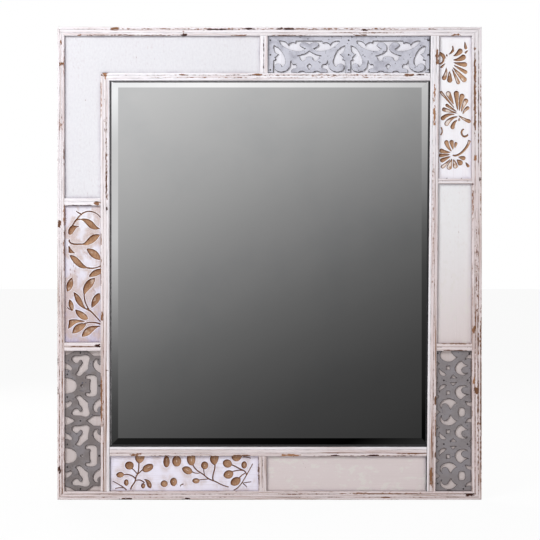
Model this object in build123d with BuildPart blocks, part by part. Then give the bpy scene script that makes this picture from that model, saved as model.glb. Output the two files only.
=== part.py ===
"""Wall mirror in a patchwork frame of grooved rails, with carved, plain and pierced-tin panels.

+Z is up and the mirror faces -Y. The origin is the middle of the bottom edge, midway through the depth.
Outlines are drawn as seen from the front, on a plane whose x is the part's X and whose y is the part's Z,
measured from the middle of the frame.
"""

import os
from dataclasses import dataclass
from math import ceil, cos, hypot, radians, sin

from build123d import *

os.makedirs("parts", exist_ok=True)

# ---------------------------------------------------------------- overall
WIDTH = 900.0
HEIGHT = 1003.0
RAIL_T = 18.0  # rails, front to back
BOARD_T = 6.0  # plywood back
BOARD_INSET = 3.0  # the back is this much smaller than the frame on every side

# ---------------------------------------------------------------- outer rails
OUTER_LEFT_W = 14.8
OUTER_RIGHT_W = 20.8
OUTER_TOP_W = 18.7
OUTER_BOTTOM_W = 17.6

# ---------------------------------------------------------------- panel bands between the rails
BAND_LEFT_W = 76.8
BAND_RIGHT_W = 73.0  # at mid height
BAND_TOP_H = 79.0
BAND_BOTTOM_H = 74.6

# ---------------------------------------------------------------- inner rails round the glass
INNER_LEFT_W = 19.5
INNER_RIGHT_W = 19.3
INNER_TOP_W = 16.8
INNER_BOTTOM_W = 20.6
INNER_RIGHT_LEAN = 8.6  # the right stile's head stands this much further right than its foot

# ---------------------------------------------------------------- dividers: width and middle line
DIVIDER_TOP_W, DIVIDER_TOP_X = 16.6, -12.0
DIVIDER_BOTTOM_W, DIVIDER_BOTTOM_X = 16.7, -14.6
DIVIDER_LEFT_HIGH_W, DIVIDER_LEFT_HIGH_Z = 15.9, 130.3
DIVIDER_LEFT_LOW_W, DIVIDER_LEFT_LOW_Z = 17.8, -176.9
DIVIDER_RIGHT_HIGH_W, DIVIDER_RIGHT_HIGH_Z = 11.0, 174.6
DIVIDER_RIGHT_LOW_W, DIVIDER_RIGHT_LOW_Z = 15.5, -177.8

# ---------------------------------------------------------------- moulding on rails and dividers
EDGE_R = 1.6
GROOVE_W = 2.2
GROOVE_D = 1.1
GROOVE_TAPER = 30.0
RAIL_GROOVES = (0.32, 0.68)  # shares of the rail's width, so that the grooves meet on every mitre
DIVIDER_GROOVES = (0.5,)

# ---------------------------------------------------------------- panels
PANEL_RECESS = 7.0  # panel fronts behind the rail fronts
PANEL_GAP = 0.4
PANEL_EDGE_R = 1.0
SHEET_T = 2.5  # pierced tin
CARVE_D = 1.6
STEM_D = 1.0
PETAL_WAIST = 0.62  # a petal's half width midway, as a share of its head's radius

# ---------------------------------------------------------------- bevelled glass
GLASS_T = 5.0
BEVEL_W = 20.0
BEVEL_DROP = 2.5
LAP_LEFT = 3.0  # glass hidden behind each inner rail
LAP_RIGHT = 6.5  # at mid height
LAP_TOP = 6.9
LAP_BOTTOM = 3.0
LIP_T = 9.0  # wood in front of the glass edge
GLASS_EDGE_GAP = 1.5
GLASS_FACE_GAP = 0.2
BLOCK_L = 40.0  # cork setting blocks under the glass
BLOCK_FROM_END = 120.0

# ---------------------------------------------------------------- tacks in the tin, brads in the dividers
TACK_HEAD_R = 1.7
TACK_HEAD_H = 0.9
TACK_HEAD_ROUND = 0.7
TACK_R = 0.7
TACK_L = 8.0
BRAD_HEAD_R = 1.3
BRAD_HEAD_H = 0.6
BRAD_R = 0.8
BRAD_L = 20.0
BRAD_FROM_END = 9.0
NAIL_CLEARANCE = 0.05
BORE_SPARE = 0.5  # a blind bore is this much deeper than its nail or screw

# ---------------------------------------------------------------- screws through the board
SCREW_R = 1.75
SCREW_HEAD_R = 3.5
SCREW_L = 18.0
SCREW_PITCH = 290.0  # at most
SCREW_FROM_END = 60.0
COUNTERSINK = 45.0  # degrees to the screw's axis

# ---------------------------------------------------------------- D-ring hangers
HANGER_FROM_SIDE = 55.0
HANGER_ABOVE_DIVIDER = 59.9  # ring pin above the upper divider at the right
STRAP_W = 16.0
STRAP_L = 42.0  # from the ring pin to the foot
STRAP_T = 1.5
RING_WIRE_R = 1.5
RING_CLEARANCE = 0.06
RING_HALF_W = 13.5  # middle of the wire
RING_CORNER_R = 3.5
RING_LEAN = 3.5  # degrees that the raised ring leans on the board
HANGER_SCREW_DROPS = (10.0, 30.0)  # below the ring pin
HANGER_SCREW_R = 1.9
HANGER_SCREW_HEAD_R = 3.4
HANGER_SCREW_HEAD_H = 1.6
HANGER_SCREW_HEAD_ROUND = 0.9
HANGER_SCREW_L = 10.5  # past the strap

# ---------------------------------------------------------------- wall bumpers
BUMPER_R = 9.0
BUMPER_T = 4.0
BUMPER_EDGE_R = 1.0
BUMPER_FROM_CORNER = 40.0

# ---------------------------------------------------------------- levels through the depth
KNUCKLE_BORE_R = RING_WIRE_R + RING_CLEARANCE
KNUCKLE_R = KNUCKLE_BORE_R + STRAP_T
DEPTH = RAIL_T + BOARD_T + 2 * KNUCKLE_R
FRONT_Y = -DEPTH / 2
PANEL_Y = FRONT_Y + PANEL_RECESS
REST_Y = FRONT_Y + RAIL_T  # rails, panels and glass pad all lie on the board at this level
BACK_Y = REST_Y + BOARD_T
PIN_Y = BACK_Y + KNUCKLE_R

# ---------------------------------------------------------------- lines of the frame, from its middle
LEFT, RIGHT = -WIDTH / 2, WIDTH / 2
BOTTOM, TOP = -HEIGHT / 2, HEIGHT / 2
BAND_X0, BAND_X1 = LEFT + OUTER_LEFT_W, RIGHT - OUTER_RIGHT_W
BAND_Z0, BAND_Z1 = BOTTOM + OUTER_BOTTOM_W, TOP - OUTER_TOP_W
STILE_X0 = BAND_X0 + BAND_LEFT_W
OPEN_X0 = STILE_X0 + INNER_LEFT_W
RAIL_Z0, RAIL_Z1 = BAND_Z0 + BAND_BOTTOM_H, BAND_Z1 - BAND_TOP_H
OPEN_Z0, OPEN_Z1 = RAIL_Z0 + INNER_BOTTOM_W, RAIL_Z1 - INNER_TOP_W
HANGER_X = RIGHT - HANGER_FROM_SIDE
HANGER_Z = DIVIDER_RIGHT_HIGH_Z + DIVIDER_RIGHT_HIGH_W / 2 + HANGER_ABOVE_DIVIDER


def stile_outer(z):
    """X of the leaning right stile's outer edge at a height."""
    return BAND_X1 - BAND_RIGHT_W + INNER_RIGHT_LEAN * z / (BAND_Z1 - BAND_Z0)


def stile_inner(z):
    """X of the leaning right stile's edge beside the glass at a height."""
    return stile_outer(z) - INNER_RIGHT_W


GLASS = (OPEN_X0 - LAP_LEFT, OPEN_Z0 - LAP_BOTTOM, stile_inner(0) + LAP_RIGHT, OPEN_Z1 + LAP_TOP)
WIDEST_LAP_RIGHT = GLASS[2] - stile_inner(OPEN_Z0)
WIDEST_LAP = max(LAP_LEFT, LAP_TOP, LAP_BOTTOM, WIDEST_LAP_RIGHT)
GLASS_Y = FRONT_Y + LIP_T + GLASS_FACE_GAP - BEVEL_DROP * (1 - WIDEST_LAP / BEVEL_W)


def front(y):
    """The plane seen from the front at a depth, with its origin at the frame's middle."""
    return Plane(origin=(0, y, HEIGHT / 2), x_dir=(1, 0, 0), z_dir=(0, -1, 0))


def grown(box, margin):
    """A box x0, z0, x1, z1 with every side moved out."""
    return (box[0] - margin, box[1] - margin, box[2] + margin, box[3] + margin)


def corners(box):
    """Corner points of a box x0, z0, x1, z1."""
    x0, z0, x1, z1 = box
    return [(x0, z0), (x1, z0), (x1, z1), (x0, z1)]


def bounds(points):
    """The box x0, z0, x1, z1 round some points."""
    xs, zs = [x for x, z in points], [z for x, z in points]
    return (min(xs), min(zs), max(xs), max(zs))


def panel_outline(x0, z0, x1, z1):
    """Corners of a panel, one gap inside its four neighbours; a leaning side is a function of z."""
    low, high = z0 + PANEL_GAP, z1 - PANEL_GAP

    def left(z):
        return (x0(z) if callable(x0) else x0) + PANEL_GAP

    def right(z):
        return (x1(z) if callable(x1) else x1) - PANEL_GAP

    return [(left(low), low), (right(low), low), (right(high), high), (left(high), high)]


def finish(piece, label):
    """Label one finished piece and write it."""
    piece.part.label = label
    export_step(piece.part, f"parts/{label}.step")


# ================================================================ outlines


@dataclass(frozen=True)
class Layout:
    """Carries points drawn full size on one box over to the panel that now holds them."""

    drawn: tuple
    panel: tuple

    def __call__(self, point):
        x0, z0, x1, z1 = self.panel
        u = (point[0] - self.drawn[0]) / (self.drawn[2] - self.drawn[0])
        v = (point[1] - self.drawn[1]) / (self.drawn[3] - self.drawn[1])
        return (x0 + u * (x1 - x0), z0 + v * (z1 - z0))


def unmoved(point):
    """Leave a point where it is."""
    return point


class Outline(BaseSketchObject):
    """A closed face bounded by runs of points: two make a line, three an arc, and more a smooth curve."""

    def __init__(self, place, *runs, mode=Mode.ADD):
        with BuildSketch() as outline:
            with BuildLine():
                for run in runs:
                    points = [place(point) for point in run]
                    if len(points) == 2:
                        Line(*points)
                    elif len(points) == 3:
                        ThreePointArc(*points)
                    else:
                        Spline(*points)
            make_face()
        super().__init__(obj=outline.sketch, rotation=0, align=None, mode=mode)


class Stem(BaseSketchObject):
    """A gouged line along points that tapers from one width to another."""

    def __init__(self, place, points, width, end_width, mode=Mode.ADD):
        path = [place(point) for point in points]
        left, right = [], []
        for i, (x, z) in enumerate(path):
            before, after = path[max(i - 1, 0)], path[min(i + 1, len(path) - 1)]
            dx, dz = after[0] - before[0], after[1] - before[1]
            half = (width + (end_width - width) * i / (len(path) - 1)) / 2 / hypot(dx, dz)
            left.append((x - dz * half, z + dx * half))
            right.append((x + dz * half, z - dx * half))
        ends = (left[-1], right[-1]), (right[0], left[0])
        outline = Outline(unmoved, left, ends[0], right[::-1], ends[1], mode=Mode.PRIVATE)
        super().__init__(obj=outline, rotation=0, align=None, mode=mode)


class Petal(BaseSketchObject):
    """A teardrop gouge, from a pointed tail to a round head, with a bend to the left of its way."""

    def __init__(self, place, tail, head, radius, bend=0.0, mode=Mode.ADD):
        (tx, tz), (hx, hz) = place(tail), place(head)
        length = hypot(hx - tx, hz - tz)
        ux, uz = (hx - tx) / length, (hz - tz) / length
        mx, mz = (tx + hx) / 2 - uz * bend, (tz + hz) / 2 + ux * bend
        reach = hypot(hx - mx, hz - mz)
        ex, ez = (hx - mx) / reach, (hz - mz) / reach
        waist = radius * PETAL_WAIST
        out = ((tx, tz), (mx - uz * waist, mz + ux * waist), (hx - ez * radius, hz + ex * radius))
        home = ((hx + ez * radius, hz - ex * radius), (mx + uz * waist, mz - ux * waist), (tx, tz))
        head_arc = (out[-1], (hx + ex * radius, hz + ez * radius), home[0])
        outline = Outline(unmoved, out, head_arc, home, mode=Mode.PRIVATE)
        super().__init__(obj=outline, rotation=0, align=None, mode=mode)


def across(runs, axis=0.0):
    """Runs that end on an upright line, closed by their own reflection in it."""
    return runs + [[(2 * axis - x, z) for x, z in reversed(run)] for run in reversed(runs)]


def below(runs, axis=0.0):
    """Runs that end on a level line, closed by their own reflection in it."""
    return runs + [[(x, 2 * axis - z) for x, z in reversed(run)] for run in reversed(runs)]


def shifted(runs, dx=0.0, dz=0.0, flip_x=1, flip_z=1):
    """Runs turned over if asked, then moved."""
    return [[(flip_x * x + dx, flip_z * z + dz) for x, z in run] for run in runs]


# ================================================================ screws and nails


def between(a, b, share):
    """The point that lies a share of the way from one point to another."""
    return (a[0] + (b[0] - a[0]) * share, a[1] + (b[1] - a[1]) * share)


def screw_row(start, end):
    """Points along a line, evenly spaced, that leave the same distance at both ends."""
    length = hypot(end[0] - start[0], end[1] - start[1])
    span = length - 2 * SCREW_FROM_END
    count = ceil(span / SCREW_PITCH) + 1
    return [between(start, end, (SCREW_FROM_END + span * i / (count - 1)) / length) for i in range(count)]


def bore(points, radius, start_y, depth):
    """Cut round holes forward from a depth in the part being built."""
    with BuildSketch(front(start_y)) as holes:
        with Locations(*points):
            Circle(radius)
    extrude(holes.sketch, amount=depth, mode=Mode.SUBTRACT)


def outer_screws(x0, z0, x1, z1):
    """Screws of the outer rails, midway between the board's edge and the inner edge of each rail."""
    left, right = (LEFT + BOARD_INSET + x0) / 2, (RIGHT - BOARD_INSET + x1) / 2
    bottom, top = (BOTTOM + BOARD_INSET + z0) / 2, (TOP - BOARD_INSET + z1) / 2
    return {
        "left": screw_row((left, BOTTOM), (left, TOP)),
        "right": screw_row((right, BOTTOM), (right, TOP)),
        "top": screw_row((LEFT, top), (RIGHT, top)),
        "bottom": screw_row((LEFT, bottom), (RIGHT, bottom)),
    }


OUTER_SCREWS = outer_screws(BAND_X0, BAND_Z0, BAND_X1, BAND_Z1)


def hanger_screws(side):
    """Places of the two screws of one hanger."""
    return [(side * HANGER_X, HANGER_Z - drop) for drop in HANGER_SCREW_DROPS]


# ================================================================ rails, stiles and dividers


def bar(label, outline, edges, grooves, screws=(), brads=(), glass_side=False):
    """A grooved bar, from its outline and its two long edges, the outer one first."""
    (a0, a1), (b0, b1) = edges
    length = hypot(a1[0] - a0[0], a1[1] - a0[1])
    ux, uz = (a1[0] - a0[0]) / length, (a1[1] - a0[1]) / length
    with BuildPart() as piece:
        with BuildSketch(front(REST_Y)):
            Polygon(*outline, align=None)
        extrude(amount=RAIL_T)
        face = piece.faces().sort_by(Axis.Y)[0]
        run = Vector(ux, 0, uz)
        fillet(face.edges().filter_by(lambda edge: abs(edge.tangent_at(0.5).dot(run)) > 0.999), EDGE_R)
        with BuildSketch(front(FRONT_Y)):
            for share in grooves:
                (x0, z0), (x1, z1) = between(a0, b0, share), between(a1, b1, share)
                with BuildLine():
                    Line((x0 - ux * RAIL_T, z0 - uz * RAIL_T), (x1 + ux * RAIL_T, z1 + uz * RAIL_T))
                trace(line_width=GROOVE_W)
        extrude(amount=-GROOVE_D, taper=GROOVE_TAPER, mode=Mode.SUBTRACT)
        if glass_side:
            with BuildSketch(front(REST_Y)):
                Polygon(*corners(grown(GLASS, GLASS_EDGE_GAP)), align=None)
            extrude(amount=RAIL_T - LIP_T, mode=Mode.SUBTRACT)
        if screws:
            bore(screws, SCREW_R + NAIL_CLEARANCE, REST_Y, SCREW_L - BOARD_T + BORE_SPARE)
        if brads:
            head_y = FRONT_Y + GROOVE_D + BRAD_HEAD_H
            bore(brads, BRAD_R + NAIL_CLEARANCE, REST_Y, RAIL_T)
            bore(brads, BRAD_HEAD_R + NAIL_CLEARANCE, head_y, GROOVE_D + BRAD_HEAD_H)
    finish(piece, label)


def outer_rails():
    """The four mitred rails round the outside."""
    a, b, c, d = (LEFT, BOTTOM), (RIGHT, BOTTOM), (RIGHT, TOP), (LEFT, TOP)
    e, f, g, h = (BAND_X0, BAND_Z0), (BAND_X1, BAND_Z0), (BAND_X1, BAND_Z1), (BAND_X0, BAND_Z1)
    bar("outer_rail_left", [a, e, h, d], ((a, d), (e, h)), RAIL_GROOVES, OUTER_SCREWS["left"])
    bar("outer_rail_right", [b, c, g, f], ((b, c), (f, g)), RAIL_GROOVES, OUTER_SCREWS["right"])
    bar("outer_rail_top", [d, h, g, c], ((d, c), (h, g)), RAIL_GROOVES, OUTER_SCREWS["top"])
    bar("outer_rail_bottom", [a, b, f, e], ((a, b), (e, f)), RAIL_GROOVES, OUTER_SCREWS["bottom"])


# The inner stiles run down to the bottom rail; only the top left corner is mitred.
LEFT_STILE_FOOT, LEFT_STILE_FOOT_IN = (STILE_X0, BAND_Z0), (OPEN_X0, BAND_Z0)
LEFT_STILE_HEAD, LEFT_STILE_HEAD_IN = (STILE_X0, RAIL_Z1), (OPEN_X0, OPEN_Z1)
RIGHT_STILE_FOOT, RIGHT_STILE_FOOT_IN = (stile_outer(BAND_Z0), BAND_Z0), (stile_inner(BAND_Z0), BAND_Z0)
RIGHT_STILE_HEAD, RIGHT_STILE_HEAD_IN = (stile_outer(BAND_Z1), BAND_Z1), (stile_inner(BAND_Z1), BAND_Z1)
TOP_RAIL_END, TOP_RAIL_END_IN = (stile_inner(RAIL_Z1), RAIL_Z1), (stile_inner(OPEN_Z1), OPEN_Z1)
BOTTOM_RAIL_START, BOTTOM_RAIL_START_IN = (OPEN_X0, RAIL_Z0), (OPEN_X0, OPEN_Z0)
BOTTOM_RAIL_END, BOTTOM_RAIL_END_IN = (stile_inner(RAIL_Z0), RAIL_Z0), (stile_inner(OPEN_Z0), OPEN_Z0)

INNER_EDGES = {
    "inner_stile_left": ((LEFT_STILE_FOOT, LEFT_STILE_HEAD), (LEFT_STILE_FOOT_IN, LEFT_STILE_HEAD_IN)),
    "inner_stile_right": ((RIGHT_STILE_FOOT, RIGHT_STILE_HEAD), (RIGHT_STILE_FOOT_IN, RIGHT_STILE_HEAD_IN)),
    "inner_rail_top": ((LEFT_STILE_HEAD, TOP_RAIL_END), (LEFT_STILE_HEAD_IN, TOP_RAIL_END_IN)),
    "inner_rail_bottom": ((BOTTOM_RAIL_START, BOTTOM_RAIL_END), (BOTTOM_RAIL_START_IN, BOTTOM_RAIL_END_IN)),
}

INNER_LAPS = {
    "inner_stile_left": (INNER_LEFT_W, LAP_LEFT),
    "inner_stile_right": (INNER_RIGHT_W, WIDEST_LAP_RIGHT),
    "inner_rail_top": (INNER_TOP_W, LAP_TOP),
    "inner_rail_bottom": (INNER_BOTTOM_W, LAP_BOTTOM),
}


def inner_screws(label):
    """Screws of one inner rail, in the middle of the wood that the glass pocket leaves at its narrowest."""
    (a0, a1), (b0, b1) = INNER_EDGES[label]
    width, lap = INNER_LAPS[label]
    share = (width - lap - GLASS_EDGE_GAP) / 2 / width
    return screw_row(between(a0, b0, share), between(a1, b1, share))


def inner_rails():
    """The two stiles and two rails round the glass, rebated at the back for it."""
    for label, edges in INNER_EDGES.items():
        (a0, a1), (b0, b1) = edges
        bar(label, [a0, a1, b1, b0], edges, RAIL_GROOVES, inner_screws(label), glass_side=True)


def upright_divider(x, width, z0, z1):
    """Outline and edges of a divider that stands between two level rails."""
    left, right = x - width / 2, x + width / 2
    a0, a1, b0, b1 = (left, z0), (left, z1), (right, z0), (right, z1)
    return [a0, b0, b1, a1], ((a0, a1), (b0, b1))


def level_divider(z, width, x0, x1):
    """Outline and edges of a divider between two upright rails, whose edges are functions of z."""
    low, high = z - width / 2, z + width / 2
    a0, a1, b0, b1 = (x0(low), low), (x1(low), low), (x0(high), high), (x1(high), high)
    return [a0, a1, b1, b0], ((a0, a1), (b0, b1))


def left_band_edges():
    """Both edges of the left band as functions of z."""
    return (lambda z: BAND_X0), (lambda z: STILE_X0)


def right_band_edges():
    """Both edges of the right band as functions of z."""
    return stile_outer, (lambda z: BAND_X1)


DIVIDERS = {
    "divider_top": upright_divider(DIVIDER_TOP_X, DIVIDER_TOP_W, RAIL_Z1, BAND_Z1),
    "divider_bottom": upright_divider(DIVIDER_BOTTOM_X, DIVIDER_BOTTOM_W, BAND_Z0, RAIL_Z0),
    "divider_left_high": level_divider(DIVIDER_LEFT_HIGH_Z, DIVIDER_LEFT_HIGH_W, *left_band_edges()),
    "divider_left_low": level_divider(DIVIDER_LEFT_LOW_Z, DIVIDER_LEFT_LOW_W, *left_band_edges()),
    "divider_right_high": level_divider(DIVIDER_RIGHT_HIGH_Z, DIVIDER_RIGHT_HIGH_W, *right_band_edges()),
    "divider_right_low": level_divider(DIVIDER_RIGHT_LOW_Z, DIVIDER_RIGHT_LOW_W, *right_band_edges()),
}


def divider_brads(label):
    """The two brads of a divider, on its middle line near the ends."""
    (a0, a1), (b0, b1) = DIVIDERS[label][1]
    start, end = between(a0, b0, 0.5), between(a1, b1, 0.5)
    share = BRAD_FROM_END / hypot(end[0] - start[0], end[1] - start[1])
    return [between(start, end, share), between(end, start, share)]


def dividers():
    """The six short bars between neighbouring panels."""
    for label, (outline, edges) in DIVIDERS.items():
        bar(label, outline, edges, DIVIDER_GROOVES, brads=divider_brads(label))


# ================================================================ panels

DIVIDER_LEFT_HIGH_FOOT = DIVIDER_LEFT_HIGH_Z - DIVIDER_LEFT_HIGH_W / 2
DIVIDER_LEFT_HIGH_TOP = DIVIDER_LEFT_HIGH_Z + DIVIDER_LEFT_HIGH_W / 2
DIVIDER_LEFT_LOW_FOOT = DIVIDER_LEFT_LOW_Z - DIVIDER_LEFT_LOW_W / 2
DIVIDER_LEFT_LOW_TOP = DIVIDER_LEFT_LOW_Z + DIVIDER_LEFT_LOW_W / 2
DIVIDER_RIGHT_HIGH_FOOT = DIVIDER_RIGHT_HIGH_Z - DIVIDER_RIGHT_HIGH_W / 2
DIVIDER_RIGHT_HIGH_TOP = DIVIDER_RIGHT_HIGH_Z + DIVIDER_RIGHT_HIGH_W / 2
DIVIDER_RIGHT_LOW_FOOT = DIVIDER_RIGHT_LOW_Z - DIVIDER_RIGHT_LOW_W / 2
DIVIDER_RIGHT_LOW_TOP = DIVIDER_RIGHT_LOW_Z + DIVIDER_RIGHT_LOW_W / 2
TOP_FRET_OUTLINE = panel_outline(DIVIDER_TOP_X + DIVIDER_TOP_W / 2, RAIL_Z1, stile_inner, BAND_Z1)
LEFT_FRET_OUTLINE = panel_outline(BAND_X0, BAND_Z0, STILE_X0, DIVIDER_LEFT_LOW_FOOT)
RIGHT_FRET_OUTLINE = panel_outline(stile_outer, BAND_Z0, BAND_X1, DIVIDER_RIGHT_LOW_FOOT)
LEFT_CARVED_OUTLINE = panel_outline(BAND_X0, DIVIDER_LEFT_LOW_TOP, STILE_X0, DIVIDER_LEFT_HIGH_FOOT)
RIGHT_CARVED_OUTLINE = panel_outline(stile_outer, DIVIDER_RIGHT_HIGH_TOP, BAND_X1, BAND_Z1)
BOTTOM_CARVED_OUTLINE = panel_outline(OPEN_X0, BAND_Z0, DIVIDER_BOTTOM_X - DIVIDER_BOTTOM_W / 2, RAIL_Z0)
RIGHT_PLAIN_OUTLINE = panel_outline(stile_outer, DIVIDER_RIGHT_LOW_TOP, BAND_X1, DIVIDER_RIGHT_HIGH_FOOT)
BOTTOM_PLAIN_OUTLINE = panel_outline(DIVIDER_BOTTOM_X + DIVIDER_BOTTOM_W / 2, BAND_Z0, stile_inner, RAIL_Z0)
CORNER_OUTLINE = [
    (BAND_X0 + PANEL_GAP, DIVIDER_LEFT_HIGH_TOP + PANEL_GAP),
    (STILE_X0 - PANEL_GAP, DIVIDER_LEFT_HIGH_TOP + PANEL_GAP),
    (STILE_X0 - PANEL_GAP, RAIL_Z1 + PANEL_GAP),
    (DIVIDER_TOP_X - DIVIDER_TOP_W / 2 - PANEL_GAP, RAIL_Z1 + PANEL_GAP),
    (DIVIDER_TOP_X - DIVIDER_TOP_W / 2 - PANEL_GAP, BAND_Z1 - PANEL_GAP),
    (BAND_X0 + PANEL_GAP, BAND_Z1 - PANEL_GAP),
]


def bore_hanger_pilots(outline):
    """Cut the pilots of the hanger screws that reach the panel being built."""
    x0, z0, x1, z1 = bounds(outline)
    pilots = [(x, z) for x, z in hanger_screws(-1) + hanger_screws(1) if x0 < x < x1 and z0 < z < z1]
    if pilots:
        bore(pilots, HANGER_SCREW_R + NAIL_CLEARANCE, REST_Y, HANGER_SCREW_L - BOARD_T + BORE_SPARE)


def plain_panel(label, outline):
    """A painted board with eased front edges."""
    with BuildPart() as panel:
        with BuildSketch(front(REST_Y)):
            Polygon(*outline, align=None)
        extrude(amount=REST_Y - PANEL_Y)
        fillet(panel.faces().sort_by(Axis.Y)[0].edges(), PANEL_EDGE_R)
        bore_hanger_pilots(outline)
    finish(panel, label)


def carved_panel(label, outline, drawn, leaves, petals, stems):
    """A board with leaves and petals gouged to one depth and stems to another."""
    place = Layout(drawn, bounds(outline))
    with BuildPart() as panel:
        with BuildSketch(front(REST_Y)):
            Polygon(*outline, align=None)
        extrude(amount=REST_Y - PANEL_Y)
        with BuildSketch(front(PANEL_Y)):
            for runs in leaves:
                Outline(place, *runs)
            for tail, head, radius, bend in petals:
                Petal(place, tail, head, radius, bend)
        extrude(amount=-CARVE_D, mode=Mode.SUBTRACT)
        if stems:
            with BuildSketch(front(PANEL_Y)):
                for points, width, end_width in stems:
                    Stem(place, points, width, end_width)
            extrude(amount=-STEM_D, mode=Mode.SUBTRACT)
        bore_hanger_pilots(outline)
    finish(panel, label)


# ---------------------------------------------------------------- carving: leaf vine, left

LEFT_CARVED_DRAWN = (-434.8, -167.6, -358.8, 122.0)
LEFT_LEAVES = [
    [
        [(-404, 93.5), (-390, 94.5), (-377, 89), (-368, 79), (-361, 74)],
        [(-361, 74), (-370, 71.8), (-380, 74.5), (-388, 82), (-395, 89.5), (-404, 93.5)],
    ],
    [
        [(-400, 41), (-391, 46), (-381, 57), (-371, 61.5), (-361, 60.5)],
        [(-361, 60.5), (-364, 55), (-370, 48), (-380, 41.5), (-390, 38.6), (-400, 41)],
    ],
    [
        [(-388, 31), (-370, 27), (-359.5, 12)],
        [(-359.5, 12), (-360, 7.5)],
        [(-360, 7.5), (-378, 14), (-388, 31)],
    ],
    [
        [(-425, 17), (-414, 15), (-405, 8), (-398, 0), (-386, -9)],
        [(-386, -9), (-400, -9.8), (-409, -5), (-417, 3), (-425, 17)],
    ],
    [[(-427, 38), (-421, 29), (-413.5, 21.5)], [(-413.5, 21.5), (-427, 22.5)], [(-427, 22.5), (-427, 38)]],
    [
        [(-426, 61), (-427, 72), (-421, 79.5), (-413, 79.8), (-404, 78.5)],
        [(-404, 78.5), (-411, 75), (-416, 68), (-420, 62.5), (-426, 61)],
    ],
    [
        [(-394, -68), (-396, -56), (-393, -45), (-384, -35), (-371, -32)],
        [(-371, -32), (-373, -41), (-378, -50), (-387, -59), (-394, -68)],
    ],
    [
        [(-384, -28.5), (-377, -18), (-358, -12)],
        [(-358, -12), (-358, -21)],
        [(-358, -21), (-370, -27), (-384, -28.5)],
    ],
    [
        [(-386, -99), (-398, -94), (-409, -84), (-414, -73), (-416, -61.5)],
        [(-416, -61.5), (-407, -67.5), (-399, -79), (-394, -91), (-386, -99)],
    ],
    [
        [(-378, -94.5), (-378.5, -85), (-375, -74), (-369, -66.5), (-361.5, -63.5)],
        [(-361.5, -63.5), (-360.5, -76), (-368, -87), (-378, -94.5)],
    ],
    [
        [(-386, -118), (-390, -110), (-399, -103), (-412.5, -98.5)],
        [(-412.5, -98.5), (-410, -108), (-403, -116), (-394, -120), (-386, -118)],
    ],
    [
        [(-392, -123.5), (-402, -121), (-413, -119.5), (-426, -121)],
        [(-426, -121), (-428, -139)],
        [(-428, -139), (-419, -133), (-411, -127), (-402, -125), (-392, -123.5)],
    ],
    [[(-390, -129.5), (-410, -131), (-419, -149)], [(-419, -149), (-401, -143), (-390, -129.5)]],
    [
        [(-358, -134), (-374, -133), (-388, -137), (-396, -146), (-399, -155.5)],
        [(-399, -155.5), (-388, -154), (-379, -148), (-370, -139), (-358, -134)],
    ],
    [[(-430, -60), (-431, -45), (-421, -31)], [(-421, -31), (-418, -46), (-430, -60)]],
    [[(-425, -77), (-426, -92), (-418.5, -101)], [(-418.5, -101), (-417, -89), (-425, -77)]],
]
LEFT_STEMS = [
    ([(-426, 50), (-423, 43.5), (-412, 40.5), (-398, 40.3)], 2.6, 2.6),
    ([(-420, 78), (-414, 88), (-406, 98), (-396, 107), (-382, 110.3), (-370, 107), (-359, 97)], 2.8, 1.4),
    ([(-411, 111), (-406, 107.5), (-400, 104.5)], 1.2, 2.0),
    ([(-412, 90), (-408, 92.8), (-403, 93.3)], 2.2, 2.4),
    ([(-388, -9.5), (-378, -10.6), (-368, -9.2), (-357, -4.5)], 2.6, 1.8),
    ([(-394, -66), (-392.5, -79), (-388.5, -90), (-383.5, -98)], 1.8, 2.0),
    ([(-389, -97), (-381, -101.5), (-372, -110), (-358, -125)], 3.6, 1.6),
    ([(-396, -129.5), (-386, -126.2), (-375, -125.6), (-356, -131)], 1.6, 2.4),
    ([(-430, -94), (-425, -97.5), (-419, -100.5)], 1.2, 1.4),
]

# ---------------------------------------------------------------- carving: fans of petals, top right

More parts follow.
